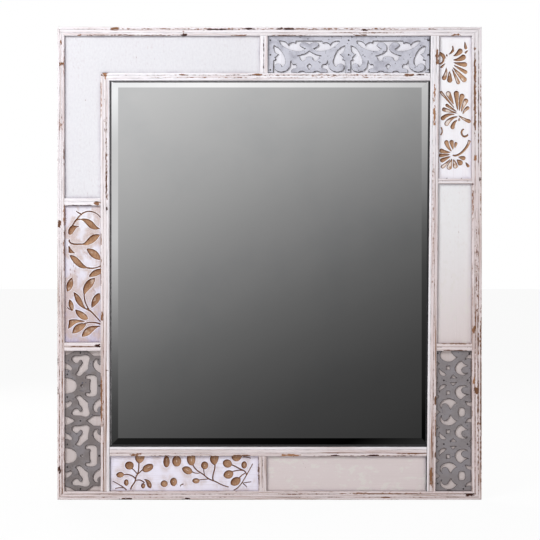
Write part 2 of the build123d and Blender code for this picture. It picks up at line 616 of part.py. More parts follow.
RIGHT_CARVED_DRAWN = (358.2, 180.5, 428.8, 482.4)
RIGHT_PETALS = [
    ((391, 441), (405, 451), 4.8, -1.5),
    ((391, 432.5), (411.5, 438), 5.0, -2.0),
    ((392, 426.5), (415, 422.5), 4.3, -0.5),
    ((392, 421), (416.5, 406.5), 3.2, 0.0),
    ((390, 416), (413.5, 390.5), 4.8, 0.0),
    ((388, 413), (401, 384.5), 3.2, 0.0),
    ((382.5, 408), (383, 389.5), 4.8, 0.0),
    ((375.5, 415), (371, 394), 4.0, 1.5),
    ((372.5, 424), (365.5, 417), 1.6, 0.0),
    ((381.5, 444.5), (389.5, 452), 2.0, -0.8),
    ((415, 470), (417, 458), 2.4, 0.0),
    ((421.5, 452.5), (417, 448), 1.4, 0.0),
    ((376, 444), (377, 441), 1.0, 0.0),
    ((393, 330), (364.5, 363.5), 2.2, 0.0),
    ((391, 338), (380, 360.5), 4.6, 0.0),
    ((400, 325), (397, 361), 4.8, 0.0),
    ((403, 324), (409, 355), 4.8, 0.0),
    ((408, 322), (417, 345), 4.6, 1.2),
    ((411, 317), (421, 330), 3.2, 1.6),
    ((402, 314), (424, 302), 3.2, -1.0),
    ((393, 316.5), (368.5, 308.5), 3.8, -3.0),
    ((400, 311.5), (376.5, 297), 4.2, -3.5),
    ((399, 304.5), (389, 289.5), 3.8, -2.0),
    ((403.5, 308), (403, 304.5), 1.6, 0.0),
    ((398, 319), (371, 327), 3.6, 0.0),
    ((398, 322), (377, 336), 2.4, 0.0),
    ((387, 238), (376, 257), 4.0, 1.5),
    ((390, 242), (387, 257.5), 4.0, 0.0),
    ((394, 246), (396, 254.5), 2.6, 0.0),
    ((384, 236), (365.5, 239), 4.0, 1.0),
    ((384, 231), (363.5, 229.5), 3.4, 0.0),
    ((384, 227), (367, 219), 3.8, 0.0),
    ((384, 221), (368, 205.5), 3.2, 0.8),
    ((387.5, 222), (382, 204.5), 4.8, 0.0),
    ((391, 221), (395, 207), 4.6, 0.0),
    ((399, 220), (405, 214), 5.2, 0.0),
    ((402, 226), (412, 223.5), 3.8, 0.0),
    ((417, 214), (422, 207), 2.4, 0.0),
]
RIGHT_LEAVES = [
    [
        [(358, 449), (365, 447.5), (372, 442), (373.5, 436)],
        [(373.5, 436), (369.5, 435.5)],
        [(369.5, 435.5), (366, 440), (361, 443), (358, 443.5)],
        [(358, 443.5), (358, 449)],
    ],
]
RIGHT_STEMS = [
    ([(369, 438), (369.5, 431), (366, 425.5), (358, 425.5)], 3.0, 2.0),
    ([(389, 461.5), (390, 456), (389.5, 451)], 1.4, 2.4),
    ([(412.5, 285), (408, 278), (410.5, 271.5), (421.5, 273)], 2.0, 3.0),
    ([(364.5, 289), (367, 281), (364, 273)], 1.2, 1.6),
    ([(390, 229.5), (398, 229.5), (410, 237), (419, 247.5), (425, 260.5)], 1.8, 4.6),
]

# ---------------------------------------------------------------- carving: berry branches, bottom

BOTTOM_CARVED_DRAWN = (-338.5, -483.5, -23.4, -409.7)


def oval(x, z, half_w, half_h):
    """A round leaf or hole as two smooth halves."""
    turns = [radians(180 - 30 * i) for i in range(7)]
    upper = [(x + half_w * cos(turn), z + half_h * sin(turn)) for turn in turns]
    return [upper, [(2 * x - a, 2 * z - b) for a, b in upper]]


BOTTOM_LEAVES = [
    oval(-298, -429.8, 9.2, 8.6),
    oval(-197.5, -420.5, 9.5, 11.5),
    oval(-219, -421.5, 6.8, 12.0),
    oval(-204, -464.5, 7.2, 8.8),
    oval(-224, -468.5, 7.4, 7.0),
    oval(-138, -429.5, 7.6, 8.2),
    oval(-156.5, -462.3, 7.6, 5.4),
    oval(-54, -428.5, 5.8, 7.6),
    oval(-304.5, -466, 4.8, 6.8),
    [[(-326, -450.5), (-317, -443.5), (-309, -449)], [(-309, -449), (-317, -455.5), (-326, -450.5)]],
    [
        [(-267, -459.5), (-257, -461), (-251.5, -468), (-252, -478)],
        [(-252, -478), (-260, -473), (-262, -466), (-267, -459.5)],
    ],
    [[(-269, -467), (-273, -472), (-269, -478.5)], [(-269, -478.5), (-264.5, -472), (-269, -467)]],
    [
        [(-270, -440), (-267, -431), (-258, -426.5), (-249, -427)],
        [(-249, -427), (-248, -435), (-256, -442), (-265, -444), (-270, -440)],
    ],
    [
        [(-278, -425.5), (-284, -419), (-285.5, -408)],
        [(-285.5, -408), (-265.5, -408)],
        [(-265.5, -408), (-269, -420), (-278, -425.5)],
    ],
    [
        [(-162, -429), (-171, -427.5), (-175.5, -419), (-173.5, -408)],
        [(-173.5, -408), (-159.5, -408)],
        [(-159.5, -408), (-157.5, -417), (-159, -424), (-162, -429)],
    ],
    [
        [(-164, -444), (-169, -434.5), (-178, -431.5), (-186, -436.5)],
        [(-186, -436.5), (-182, -444), (-174, -448.5), (-164, -444)],
    ],
    [
        [(-117, -429), (-124.5, -423), (-126.5, -416), (-123, -408)],
        [(-123, -408), (-108, -408)],
        [(-108, -408), (-109, -417), (-112, -424), (-117, -429)],
    ],
    [[(-80, -428.5), (-89, -417), (-99, -422)], [(-99, -422), (-91, -434), (-80, -428.5)]],
    [[(-78, -443), (-92, -441.5), (-98, -450.5)], [(-98, -450.5), (-86, -457.5), (-78, -443)]],
    [[(-62, -457), (-75, -455.5), (-82.5, -470)], [(-82.5, -470), (-68, -471), (-62, -457)]],
    [
        [(-80.5, -408), (-78, -417.5), (-63, -417.5)],
        [(-63, -417.5), (-57, -408)],
        [(-57, -408), (-80.5, -408)],
    ],
]
BOTTOM_STEMS = [
    (
        [
            (-295, -481),
            (-290, -470),
            (-285.5, -463),
            (-284, -455),
            (-280, -446),
            (-278, -435),
            (-277.5, -424),
        ],
        2.6,
        2.2,
    ),
    ([(-284.5, -458.5), (-292, -452), (-301, -449), (-310, -450)], 2.2, 2.0),
    ([(-285.5, -463), (-279, -460.5), (-272, -462), (-266, -467)], 2.2, 2.0),
    ([(-281, -448), (-286, -442), (-292, -436)], 1.8, 1.8),
    ([(-281, -449), (-275, -443.5), (-267, -437)], 2.0, 2.2),
    ([(-333, -463), (-322, -469), (-311, -476), (-304, -482)], 1.4, 2.4),
    ([(-328, -478.5), (-318, -477), (-308, -478)], 1.6, 1.4),
    ([(-190, -474), (-187, -470.5), (-183, -469)], 1.2, 2.2),
    (
        [
            (-87, -475.5),
            (-105, -469),
            (-116, -463.5),
            (-131, -457),
            (-140, -449.5),
            (-150, -443),
            (-163.5, -427),
        ],
        2.0,
        2.4,
    ),
    ([(-149, -446), (-157, -446), (-165, -443)], 1.6, 1.8),
    ([(-138, -450), (-139.5, -444), (-140, -436)], 1.4, 1.6),
    ([(-128, -458.5), (-139, -459), (-150, -460.5)], 1.6, 1.8),
    ([(-119.5, -462), (-120.5, -452), (-117.5, -440), (-116.5, -427)], 2.4, 2.4),
    ([(-76, -482), (-66, -475.5), (-58, -465.5), (-50, -452), (-43, -439.5), (-36, -426)], 2.0, 1.4),
    ([(-49, -451), (-53, -442), (-62, -437.5), (-73, -431.5), (-82, -428)], 2.2, 2.4),
    ([(-56, -440.5), (-66, -440), (-79, -443)], 1.6, 2.0),
    ([(-52, -446), (-58, -450), (-65, -457)], 1.8, 2.2),
    ([(-57.5, -467.5), (-49, -465.8), (-39, -464.5)], 1.6, 1.2),
    ([(-56, -469), (-51, -472.5), (-48, -476)], 1.8, 1.2),
    ([(-57, -411.5), (-49, -411.8), (-40, -414.5)], 2.0, 1.4),
]


def carved_panels():
    """The three carved boards."""
    left = (LEFT_LEAVES, [], LEFT_STEMS)
    right = (RIGHT_LEAVES, RIGHT_PETALS, RIGHT_STEMS)
    bottom = (BOTTOM_LEAVES, [], BOTTOM_STEMS)
    carved_panel("carved_panel_left", LEFT_CARVED_OUTLINE, LEFT_CARVED_DRAWN, *left)
    carved_panel("carved_panel_right", RIGHT_CARVED_OUTLINE, RIGHT_CARVED_DRAWN, *right)
    carved_panel("carved_panel_bottom", BOTTOM_CARVED_OUTLINE, BOTTOM_CARVED_DRAWN, *bottom)


def plain_panels():
    """The three painted boards: one L round the top left corner, one at the right, one at the bottom."""
    plain_panel("plain_panel_corner", CORNER_OUTLINE)
    plain_panel("plain_panel_right", RIGHT_PLAIN_OUTLINE)
    plain_panel("plain_panel_bottom", BOTTOM_PLAIN_OUTLINE)


# ================================================================ pierced tin

# ---------------------------------------------------------------- top sheet: scrolls, two upright units

TOP_FRET_DRAWN = (-3.3, 404.2, 340.5, 482.4)
CLOSED_AXIS, OPEN_AXIS = 84.5, 252.0  # scroll heads that meet, and scroll heads that stand apart
OPEN_SPREAD = 3.7  # the open unit's wings and scrolls stand this much further out
HEAD_X = -27.0  # a unit's heads lie inside this, its wings outside
CUT_Z = 400.0  # below the sheet's lower edge
BROW = [  # from the middle of the upper opening out to its tip and back under it
    [(0, 472.5), (-28, 472.5)],
    [(-28, 472.5), (-29, 467)],
    [(-29, 467), (-36, 469), (-44.5, 462)],
    [(-44.5, 462), (-48, 468.2), (-54, 471.5), (-63.5, 472.4)],
    [(-63.5, 472.4), (-61.5, 467.5)],
]
CLOSED_BROW = BROW + [
    [(-61.5, 467.5), (-50, 458), (-36, 452.6), (-22, 450.8), (-12.5, 453), (-9, 456.5)],
    [(-9, 456.5), (-15, 458.6), (-20.3, 462.5)],
    [(-20.3, 462.5), (-19, 467.5), (-13.5, 469.8), (-6.5, 468.8), (0, 464.8)],
]
CLOSED_HEART = [
    [(0, 451.5), (-5, 447.5), (-12, 444), (-19, 442.3), (-25, 440.8)],
    [(-25, 440.8), (-20.5, 438.5), (-18, 433.5), (-13.5, 430), (-9, 432), (-7.5, 437)],
    [(-7.5, 437), (-4, 438.8), (0, 439.5)],
]
OPEN_BROW = BROW + [
    [(-61.5, 467.5), (-51, 458.5), (-38, 453), (-26, 451), (-18, 452.4), (-14.5, 455.8)],
]
OPEN_HEART = [
    [(-14.5, 455.8), (-20, 458.6), (-24.5, 463)],
    [
        (-24.5, 463),
        (-21, 468),
        (-14.5, 469.8),
        (-8, 467.7),
        (-3.5, 462.5),
        (-2.3, 456.5),
        (-4.5, 451),
        (-10, 446.6),
        (-18, 443),
        (-27.5, 440.5),
    ],
    [(-27.5, 440.5), (-23.5, 438.5), (-21.5, 433.5), (-17, 430), (-12.5, 432), (-11, 437)],
    [(-11, 437), (-5.5, 438.9), (0, 439.3)],
]
SCROLL = [  # the leaf beside a unit, round its scroll and out through the lower edge
    [
        (-75.5, 462),
        (-69, 459.5),
        (-62, 454),
        (-56.5, 446),
        (-52.5, 437),
        (-51, 428),
        (-53.5, 421),
        (-58, 418),
    ],
    [
        (-58, 418),
        (-60, 422),
        (-64.5, 424.3),
        (-70.5, 423.3),
        (-74, 418.5),
        (-73, 412.5),
        (-69, 408.6),
        (-61.5, 406.4),
        (-52.5, 407.5),
        (-45.5, 411.5),
        (-41, 418),
        (-39.8, 425),
        (-38.7, 430.5),
    ],
    [(-38.7, 430.5), (-37, 425.5), (-34.5, 421.8)],
    [(-34.5, 421.8), (-29, 422), (-26.5, 417.5)],
    [(-26.5, 417.5), (-30, 414), (-35.5, 412.8), (-38.3, 409), (-37.3, 404.5), (-35, CUT_Z)],
    [(-35, CUT_Z), (-76, CUT_Z)],
    [(-76, CUT_Z), (-76, 430.5)],
    [(-76, 430.5), (-70, 432.5)],
    [(-70, 432.5), (-72.5, 437.5)],
    [(-72.5, 437.5), (-65, 444.5)],
    [(-65, 444.5), (-70.5, 446.5), (-73.8, 451.5), (-75.3, 457), (-75.5, 462)],
]
LOZENGE = [[(0, 424), (-5, 419.5)], [(-5, 419.5), (0, 412)], [(0, 412), (5, 419.5)], [(5, 419.5), (0, 424)]]
FOOT_NOTCH = [[(-25, CUT_Z), (-17.5, 408.3), (-7, CUT_Z)], [(-7, CUT_Z), (-25, CUT_Z)]]


def spread_out(runs, spread):
    """Runs whose wings are moved out from the middle line by a distance."""
    return [[(x - spread if x < HEAD_X else x, z) for x, z in run] for run in runs]


def top_fret_openings():
    """Outlines of the top sheet's openings."""
    openings = [shifted(across(CLOSED_BROW), CLOSED_AXIS), shifted(across(CLOSED_HEART), CLOSED_AXIS)]
    openings.append(shifted(across(spread_out(OPEN_BROW, OPEN_SPREAD) + OPEN_HEART), OPEN_AXIS))
    for axis, spread in ((CLOSED_AXIS, 0.0), (OPEN_AXIS, OPEN_SPREAD)):
        openings.append(shifted(LOZENGE, axis))
        for flip in (1, -1):
            openings.append(shifted(SCROLL, axis - flip * spread, flip_x=flip))
            openings.append(shifted(FOOT_NOTCH, axis, flip_x=flip))
    return openings


# ---------------------------------------------------------------- left sheet: brackets and hooks, two units

LEFT_FRET_DRAWN = (-434.8, -483.5, -358.8, -186.2)
LEFT_AXES = (-260.4, -409.2)
LEFT_JOINTS = (-186.0, -334.8, -483.6)  # where units meet, and where the sheet was cut
EDGE_OUT_LEFT, EDGE_OUT_RIGHT = -438.0, -355.0  # beyond the sheet's sides
HALF_MOON = [
    [(EDGE_OUT_LEFT, 16.5), (-425, 15.9), (-414.5, 10.8), (-409.8, 0)],
]
BRACKET = [
    [(-366.3, 0), (-366.8, 13)],
    [(-366.8, 13), (-368.5, 19.3), (-373.5, 22.6), (-381, 23), (-388, 21.8), (-391.3, 18.3), (-389.2, 14.8)],
    [(-389.2, 14.8), (-385.5, 14.7), (-382, 14.2), (-380.6, 11.5), (-382.3, 8.3)],
    [(-382.3, 8.3), (-382.3, 0)],
]
HOOK = [
    [
        (-385.5, 36),
        (-385.2, 46),
        (-383.3, 54),
        (-382.6, 60),
        (-386, 64.3),
        (-393, 65.8),
        (-403, 63.7),
        (-412, 63.4),
        (-418.5, 61),
        (-420, 57),
        (-416.5, 51.3),
        (-411, 48.2),
        (-407, 49.5),
    ],
    [(-407, 49.5), (-404.8, 53), (-402, 55), (-398.8, 53.3), (-397.7, 49), (-400.5, 44), (-405, 40)],
    [(-405, 40), (-405.8, 34), (-408.5, 29), (-412.8, 25)],
    [(-412.8, 25), (-408, 21.4), (-403, 21), (-398.5, 24.8), (-393.5, 29.6), (-388.5, 33.4), (-385.5, 36)],
]
SIDE_LEAF = [
    [(EDGE_OUT_LEFT, 50), (-430, 46.8), (-424, 42.6), (-419.8, 37.5)],
    [(-419.8, 37.5), (-421, 33.5), (-425.5, 32.8)],
    [(-425.5, 32.8), (-430.5, 35.2), (EDGE_OUT_LEFT, 33.5)],
    [(EDGE_OUT_LEFT, 33.5), (EDGE_OUT_LEFT, 50)],
]
SIDE_CURL = [
    [(EDGE_OUT_RIGHT, 44.4), (-361, 44.5), (-365.3, 48), (-365.8, 52.5), (-363.5, 56)],
    [
        (-363.5, 56),
        (-368.5, 56.4),
        (-373.2, 52.6),
        (-375, 44.4),
        (-372, 37),
        (-365, 30),
        (EDGE_OUT_RIGHT, 25.5),
    ],
    [(EDGE_OUT_RIGHT, 25.5), (EDGE_OUT_RIGHT, 44.4)],
]
JOINT_RIGHT = [[(EDGE_OUT_RIGHT, 10.8), (-374.5, 10.8)], [(-374.5, 10.8), (-380.8, 5.8), (-389, 0)]]
JOINT_LEFT = [[(EDGE_OUT_LEFT, 9.4), (-430, 8.6), (-422, 5.3), (-414, 0)]]
PIN_HOLE_R = 2.6
PIN_HOLE_X = -398.5


def closed(runs):
    """Runs closed by a line from their last point back to their first."""
    return runs + [[runs[-1][-1], runs[0][0]]]


def left_fret_openings():
    """Outlines of the left sheet's openings."""
    openings = []
    for axis in LEFT_AXES:
        openings += [shifted(closed(below(HALF_MOON)), dz=axis), shifted(below(BRACKET), dz=axis)]
        openings.append(shifted(oval(PIN_HOLE_X, 0, PIN_HOLE_R, PIN_HOLE_R), dz=axis))
        for flip in (1, -1):
            openings += [shifted(runs, dz=axis, flip_z=flip) for runs in (HOOK, SIDE_LEAF, SIDE_CURL)]
    for joint in LEFT_JOINTS:
        openings += [shifted(closed(below(runs)), dz=joint) for runs in (JOINT_RIGHT, JOINT_LEFT)]
    return openings


# ---------------------------------------------------------------- right sheet: moons and crescents

RIGHT_FRET_DRAWN = (353.0, -483.5, 428.8, -185.9)
MOON_AXES = (-248.7, -384.2)  # two moons face each other across each of these lines
BARREL_AXES = (-316.5, -452.0)  # and two crescents across each of these
PAST_LEFT, PAST_RIGHT = 349.0, 432.0  # beyond the sheet's sides
MOON = [
    [
        (408, 40.7),
        (402, 38),
        (396.7, 31),
        (395, 23.5),
        (398, 17),
        (404, 12.6),
        (411, 10.9),
        (417, 11.6),
        (421, 15.2),
    ],
    [
        (421, 15.2),
        (416, 14.2),
        (411.2, 15.8),
        (408.2, 20),
        (409, 25),
        (412.5, 28),
        (417, 29.3),
        (422.5, 30.9),
    ],
    [(422.5, 30.9), (416.3, 33.2), (412, 36.5), (408, 40.7)],
]
CRESCENT_OUT = [
    [
        (366.5, 60),
        (363.8, 57),
        (363.3, 51),
        (368, 44.3),
        (377, 39.9),
        (385.5, 39.9),
        (393, 43.4),
        (398.5, 49),
    ],
    [(398.5, 49), (392.5, 52.5), (388.7, 56.8), (386.8, 61.3)],
]
CRESCENT_IN = [
    [(386.8, 61.3), (384.6, 61.3)],
    [(384.6, 61.3), (382, 56), (379, 51.5), (374, 49.3), (369, 50.5), (366.6, 55), (366.5, 60)],
]
WORN_END = [[(386.8, 61.3), (386.8, 70)], [(386.8, 70), (366.5, 70)], [(366.5, 70), (366.5, 60)]]
SLIVER = [
    [(362, 24.8), (366, 19.8), (370.5, 16.6), (376, 10.4)],
    [(376, 10.4), (368.5, 9.6), (363, 13.5), (360.8, 19), (362, 24.8)],
]
SQUARE = [
    [(376.4, 22.5), (384, 22.5)],
    [(384, 22.5), (384, 30.2)],
    [(384, 30.2), (376.4, 30.2)],
    [(376.4, 30.2), (376.4, 22.5)],
]
TENT = [[(384.5, 4.7), (398, 4.7)], [(398, 4.7), (390.5, 11.6)], [(390.5, 11.6), (384.5, 4.7)]]
LEFT_FANG = closed([[(PAST_LEFT, 2.5), (357.8, 5)], [(357.8, 5), (PAST_LEFT, 13)]])
RIGHT_FANG = closed([[(PAST_RIGHT, 2.5), (425.3, 5)], [(425.3, 5), (PAST_RIGHT, 12)]])
LEFT_NOTCH = closed([[(PAST_LEFT, 45.5), (361.3, 35.2)], [(361.3, 35.2), (PAST_LEFT, 25.5)]])
EDGE_LEAF = closed(
    [
        [(PAST_RIGHT, 45.5), (425, 46.6), (420.5, 46), (416.5, 44.5)],
        [(416.5, 44.5), (421, 52.5), (PAST_RIGHT, 54.5)],
    ]
)
MIDDLE_NOTCH = closed([[(PAST_LEFT, 11.5), (362.8, 0)], [(362.8, 0), (PAST_LEFT, -11.5)]])
BARREL = [
    [(403.5, 9), (401.8, 0), (403.5, -9)],
    [(403.5, -9), (409, -9.7), (414.5, -8)],
    [(414.5, -8), (416, 0), (414.5, 8)],
    [(414.5, 8), (409, 9.7), (403.5, 9)],
]


def right_fret_openings():
    """Outlines of the right sheet's openings; the peninsula of the topmost crescent has broken off."""
    openings = []
    for i, axis in enumerate(MOON_AXES):
        for flip in (1, -1):
            for runs in (MOON, SLIVER, SQUARE, TENT, LEFT_FANG, RIGHT_FANG, LEFT_NOTCH, EDGE_LEAF):
                openings.append(shifted(runs, dz=axis, flip_z=flip))
            worn = i == 0 and flip == 1
            openings.append(shifted(CRESCENT_OUT + (WORN_END if worn else CRESCENT_IN), dz=axis, flip_z=flip))
    for axis in BARREL_AXES:
        openings += [shifted(BARREL, dz=axis), shifted(MIDDLE_NOTCH, dz=axis)]
    last = 2 * BARREL_AXES[-1] - MOON_AXES[-1]
    openings += [shifted(CRESCENT_OUT + CRESCENT_IN, dz=last), shifted(EDGE_LEAF, dz=last)]
    return openings


TACKS = {
    "top": [(x, z) for x in (1.6, 168, 336.5) for z in (474, 443, 411)],
    "left": [
        (-430, -236),
        (-430, -284),
        (-430, -385),
        (-430, -433),
        (-362.3, -260.4),
        (-362.3, -409.2),
        (-402, -190.5),
        (-402, -334.8),
        (-402, -479.2),
    ],
    "right": [
        (358.5, -191),
        (424.5, -191),
        (371, -248.7),
        (421, -248.7),
        (371, -384.2),
        (421, -384.2),
        (358, -468),
        (412, -479.5),
    ],
}


def pierced_panel(side, outline, drawn, openings):
    """A tin sheet with its openings, the board behind it, and the tacks through both."""
    place = Layout(drawn, bounds(outline))
    tacks = [place(point) for point in TACKS[side]]
    with BuildPart() as sheet:
        with BuildSketch(front(PANEL_Y + SHEET_T)):
            Polygon(*outline, align=None)
            for runs in openings:
                Outline(place, *runs, mode=Mode.SUBTRACT)
        extrude(amount=SHEET_T)
        bore(tacks, TACK_R + NAIL_CLEARANCE, PANEL_Y + SHEET_T, SHEET_T)
    finish(sheet, f"tin_sheet_{side}")

    with BuildPart() as board:
        with BuildSketch(front(REST_Y)):
            Polygon(*outline, align=None)
        extrude(amount=REST_Y - PANEL_Y - SHEET_T)
        depth = TACK_L - SHEET_T + BORE_SPARE
        bore(tacks, TACK_R + NAIL_CLEARANCE, PANEL_Y + SHEET_T + depth, depth)
    finish(board, f"tin_backing_{side}")

    with BuildPart() as nails:
        with BuildSketch(front(PANEL_Y)):
            with Locations(*tacks):
                Circle(TACK_HEAD_R)
        extrude(amount=TACK_HEAD_H)
        fillet(nails.faces().group_by(Axis.Y)[0].edges(), TACK_HEAD_ROUND)
        with BuildSketch(front(PANEL_Y)):
            with Locations(*tacks):
                Circle(TACK_R)
        extrude(amount=-TACK_L)
    finish(nails, f"tin_tacks_{side}")


def pierced_panels():
    """The three tin sheets with their boards and tacks."""
    pierced_panel("top", TOP_FRET_OUTLINE, TOP_FRET_DRAWN, top_fret_openings())
    pierced_panel("left", LEFT_FRET_OUTLINE, LEFT_FRET_DRAWN, left_fret_openings())
    pierced_panel("right", RIGHT_FRET_OUTLINE, RIGHT_FRET_DRAWN, right_fret_openings())


# ================================================================ glass and what holds it


def mirror_glass():
    """The silvered glass, bevelled on all four front edges."""
    with BuildPart() as glass:
        with BuildSketch(front(GLASS_Y + GLASS_T)):
            Polygon(*corners(GLASS), align=None)
        extrude(amount=GLASS_T - BEVEL_DROP)
        with BuildSketch(front(GLASS_Y + BEVEL_DROP)):
            Polygon(*corners(GLASS), align=None)
        with BuildSketch(front(GLASS_Y)):
            Polygon(*corners(grown(GLASS, -BEVEL_W)), align=None)
        loft(ruled=True)
    finish(glass, "mirror_glass")


def glass_pad():
    """The card pad that fills the rebate behind the glass."""
    with BuildPart() as pad:
        with BuildSketch(front(REST_Y)):
            Polygon(*corners(GLASS), align=None)
        extrude(amount=REST_Y - GLASS_Y - GLASS_T)
    finish(pad, "glass_pad")


def setting_blocks():
    """The two cork blocks that the glass stands on."""
    x0, z0, x1, z1 = GLASS
    with BuildPart() as blocks:
        with BuildSketch(front(REST_Y)):
            for middle in (x0 + BLOCK_FROM_END, x1 - BLOCK_FROM_END):
                box = (middle - BLOCK_L / 2, z0 - GLASS_EDGE_GAP, middle + BLOCK_L / 2, z0)
                Polygon(*corners(box), align=None)
        extrude(amount=REST_Y - GLASS_Y - BEVEL_DROP)
    finish(blocks, "setting_blocks")


# ================================================================ board and its fasteners


def board_screw_points():
    """Every screw that goes through the board into a rail."""
    points = [point for row in OUTER_SCREWS.values() for point in row]
    for label in INNER_EDGES:
        points += inner_screws(label)
    return points


def countersunk(points, mode, clearance=0.0):
    """Cone heads sunk flush with the back of the board."""
    with BuildSketch(front(BACK_Y)) as heads:
        with Locations(*points):
            Circle(SCREW_HEAD_R + clearance)
    extrude(heads.sketch, amount=SCREW_HEAD_R - SCREW_R, taper=COUNTERSINK, mode=mode)


def backing_board():
    """The plywood that carries everything, with its screw holes."""
    with BuildPart() as board:
        with BuildSketch(front(BACK_Y)):
            Rectangle(WIDTH - 2 * BOARD_INSET, HEIGHT - 2 * BOARD_INSET)
        extrude(amount=BOARD_T)
        bore(board_screw_points(), SCREW_R + NAIL_CLEARANCE, BACK_Y, BOARD_T)
        countersunk(board_screw_points(), Mode.SUBTRACT, NAIL_CLEARANCE)
        bore(hanger_screws(-1) + hanger_screws(1), HANGER_SCREW_R + NAIL_CLEARANCE, BACK_Y, BOARD_T)
        brads = [point for label in DIVIDERS for point in divider_brads(label)]
        brad_depth = GROOVE_D + BRAD_L - RAIL_T + BORE_SPARE
        bore(brads, BRAD_R + NAIL_CLEARANCE, REST_Y + brad_depth, brad_depth)
    finish(board, "backing_board")


def board_screws():
    """The screws that hold the rails to the board."""
    with BuildPart() as screws:
        with BuildSketch(front(BACK_Y)):
            with Locations(*board_screw_points()):
                Circle(SCREW_R)
        extrude(amount=SCREW_L)
        countersunk(board_screw_points(), Mode.ADD)
    finish(screws, "board_screws")


def brads():
    """The headed brads down through the dividers."""
    points = [point for label in DIVIDERS for point in divider_brads(label)]
    with BuildPart() as nails:
        with BuildSketch(front(FRONT_Y + GROOVE_D)):
            with Locations(*points):
                Circle(BRAD_R)
        extrude(amount=-BRAD_L)
        with BuildSketch(front(FRONT_Y + GROOVE_D)):
            with Locations(*points):
                Circle(BRAD_HEAD_R)
        extrude(amount=-BRAD_HEAD_H)
    finish(nails, "divider_brads")


# ================================================================ hangers and bumpers


def strap(name, side):
    """One hanger strap: a plate with a knuckle rolled round the ring's straight side."""
    x = side * HANGER_X
    half_w = STRAP_W / 2
    across_pin = Plane(origin=(x - half_w, PIN_Y, HEIGHT / 2 + HANGER_Z), x_dir=(0, 1, 0), z_dir=(1, 0, 0))
    with BuildPart() as plate:
        with BuildSketch(front(BACK_Y + STRAP_T)):
            Polygon(*corners((x - half_w, HANGER_Z - STRAP_L + half_w, x + half_w, HANGER_Z)), align=None)
            with Locations((x, HANGER_Z - STRAP_L + half_w)):
                Circle(half_w)
        extrude(amount=STRAP_T)
        with BuildSketch(across_pin):
            Circle(KNUCKLE_R)
        extrude(amount=STRAP_W)
        with BuildSketch(across_pin):
            Circle(KNUCKLE_BORE_R)
        extrude(amount=STRAP_W, mode=Mode.SUBTRACT)
        bore(hanger_screws(side), HANGER_SCREW_R + NAIL_CLEARANCE, BACK_Y + STRAP_T, STRAP_T)
    finish(plate, f"{name}_hanger_strap")


def ring(name, side):
    """One D-ring, raised and leaning on the board."""
    lean = radians(RING_LEAN)
    plane = Plane(
        origin=(side * HANGER_X, PIN_Y, HEIGHT / 2 + HANGER_Z),
        x_dir=(1, 0, 0),
        z_dir=(0, -cos(lean), -sin(lean)),
    )
    inner, corner = RING_HALF_W - RING_CORNER_R, RING_CORNER_R
    diagonal = corner * cos(radians(45))
    with BuildPart() as wire:
        with BuildLine(plane) as path:
            Line((-inner, 0), (inner, 0))
            ThreePointArc((inner, 0), (inner + diagonal, corner - diagonal), (RING_HALF_W, corner))
            ThreePointArc((RING_HALF_W, corner), (0, corner + RING_HALF_W), (-RING_HALF_W, corner))
            ThreePointArc((-RING_HALF_W, corner), (-inner - diagonal, corner - diagonal), (-inner, 0))
        with BuildSketch(Plane(origin=path.wires()[0] @ 0, z_dir=path.wires()[0] % 0)):
            Circle(RING_WIRE_R)
        sweep(path=path.wires()[0])
    finish(wire, f"{name}_d_ring")


def hanger_screw_pair(name, side):
    """The two pan-head screws of one hanger."""
    with BuildPart() as screws:
        with BuildSketch(front(BACK_Y + STRAP_T)):
            with Locations(*hanger_screws(side)):
                Circle(HANGER_SCREW_HEAD_R)
        extrude(amount=-HANGER_SCREW_HEAD_H)
        fillet(screws.faces().group_by(Axis.Y)[-1].edges(), HANGER_SCREW_HEAD_ROUND)
        with BuildSketch(front(BACK_Y + STRAP_T)):
            with Locations(*hanger_screws(side)):
                Circle(HANGER_SCREW_R)
        extrude(amount=STRAP_T + HANGER_SCREW_L)
    finish(screws, f"{name}_hanger_screws")


def hangers():
    """Both D-ring hangers on the back."""
    for name, side in (("left", -1), ("right", 1)):
        strap(name, side)
        ring(name, side)
        hanger_screw_pair(name, side)


def bumpers():
    """The two rubber discs that keep the foot of the frame off the wall."""
    x, z = RIGHT - BUMPER_FROM_CORNER, BOTTOM + BUMPER_FROM_CORNER
    with BuildPart() as discs:
        with BuildSketch(front(BACK_Y)):
            with Locations((-x, z), (x, z)):
                Circle(BUMPER_R)
        extrude(amount=-BUMPER_T)
        fillet(discs.faces().group_by(Axis.Y)[-1].edges(), BUMPER_EDGE_R)
    finish(discs, "wall_bumpers")


outer_rails()
inner_rails()
dividers()
plain_panels()
carved_panels()
pierced_panels()
mirror_glass()
glass_pad()
setting_blocks()
backing_board()
board_screws()
brads()
hangers()
bumpers()
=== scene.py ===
"""Dresses the wall mirror: a whitewashed patchwork frame with carved, painted and pierced tin panels.

Sizes in the classes are millimetres. Outlines are given as seen from the front, from the middle of the
frame, x to the right and z upward; depths are along y, and the mirror faces -y.
"""

import logging
import math
from collections.abc import Callable, Sequence
from dataclasses import dataclass, field
from enum import Enum

import bmesh
import bpy
import numpy as np
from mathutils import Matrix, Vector
from mathutils.bvhtree import BVHTree


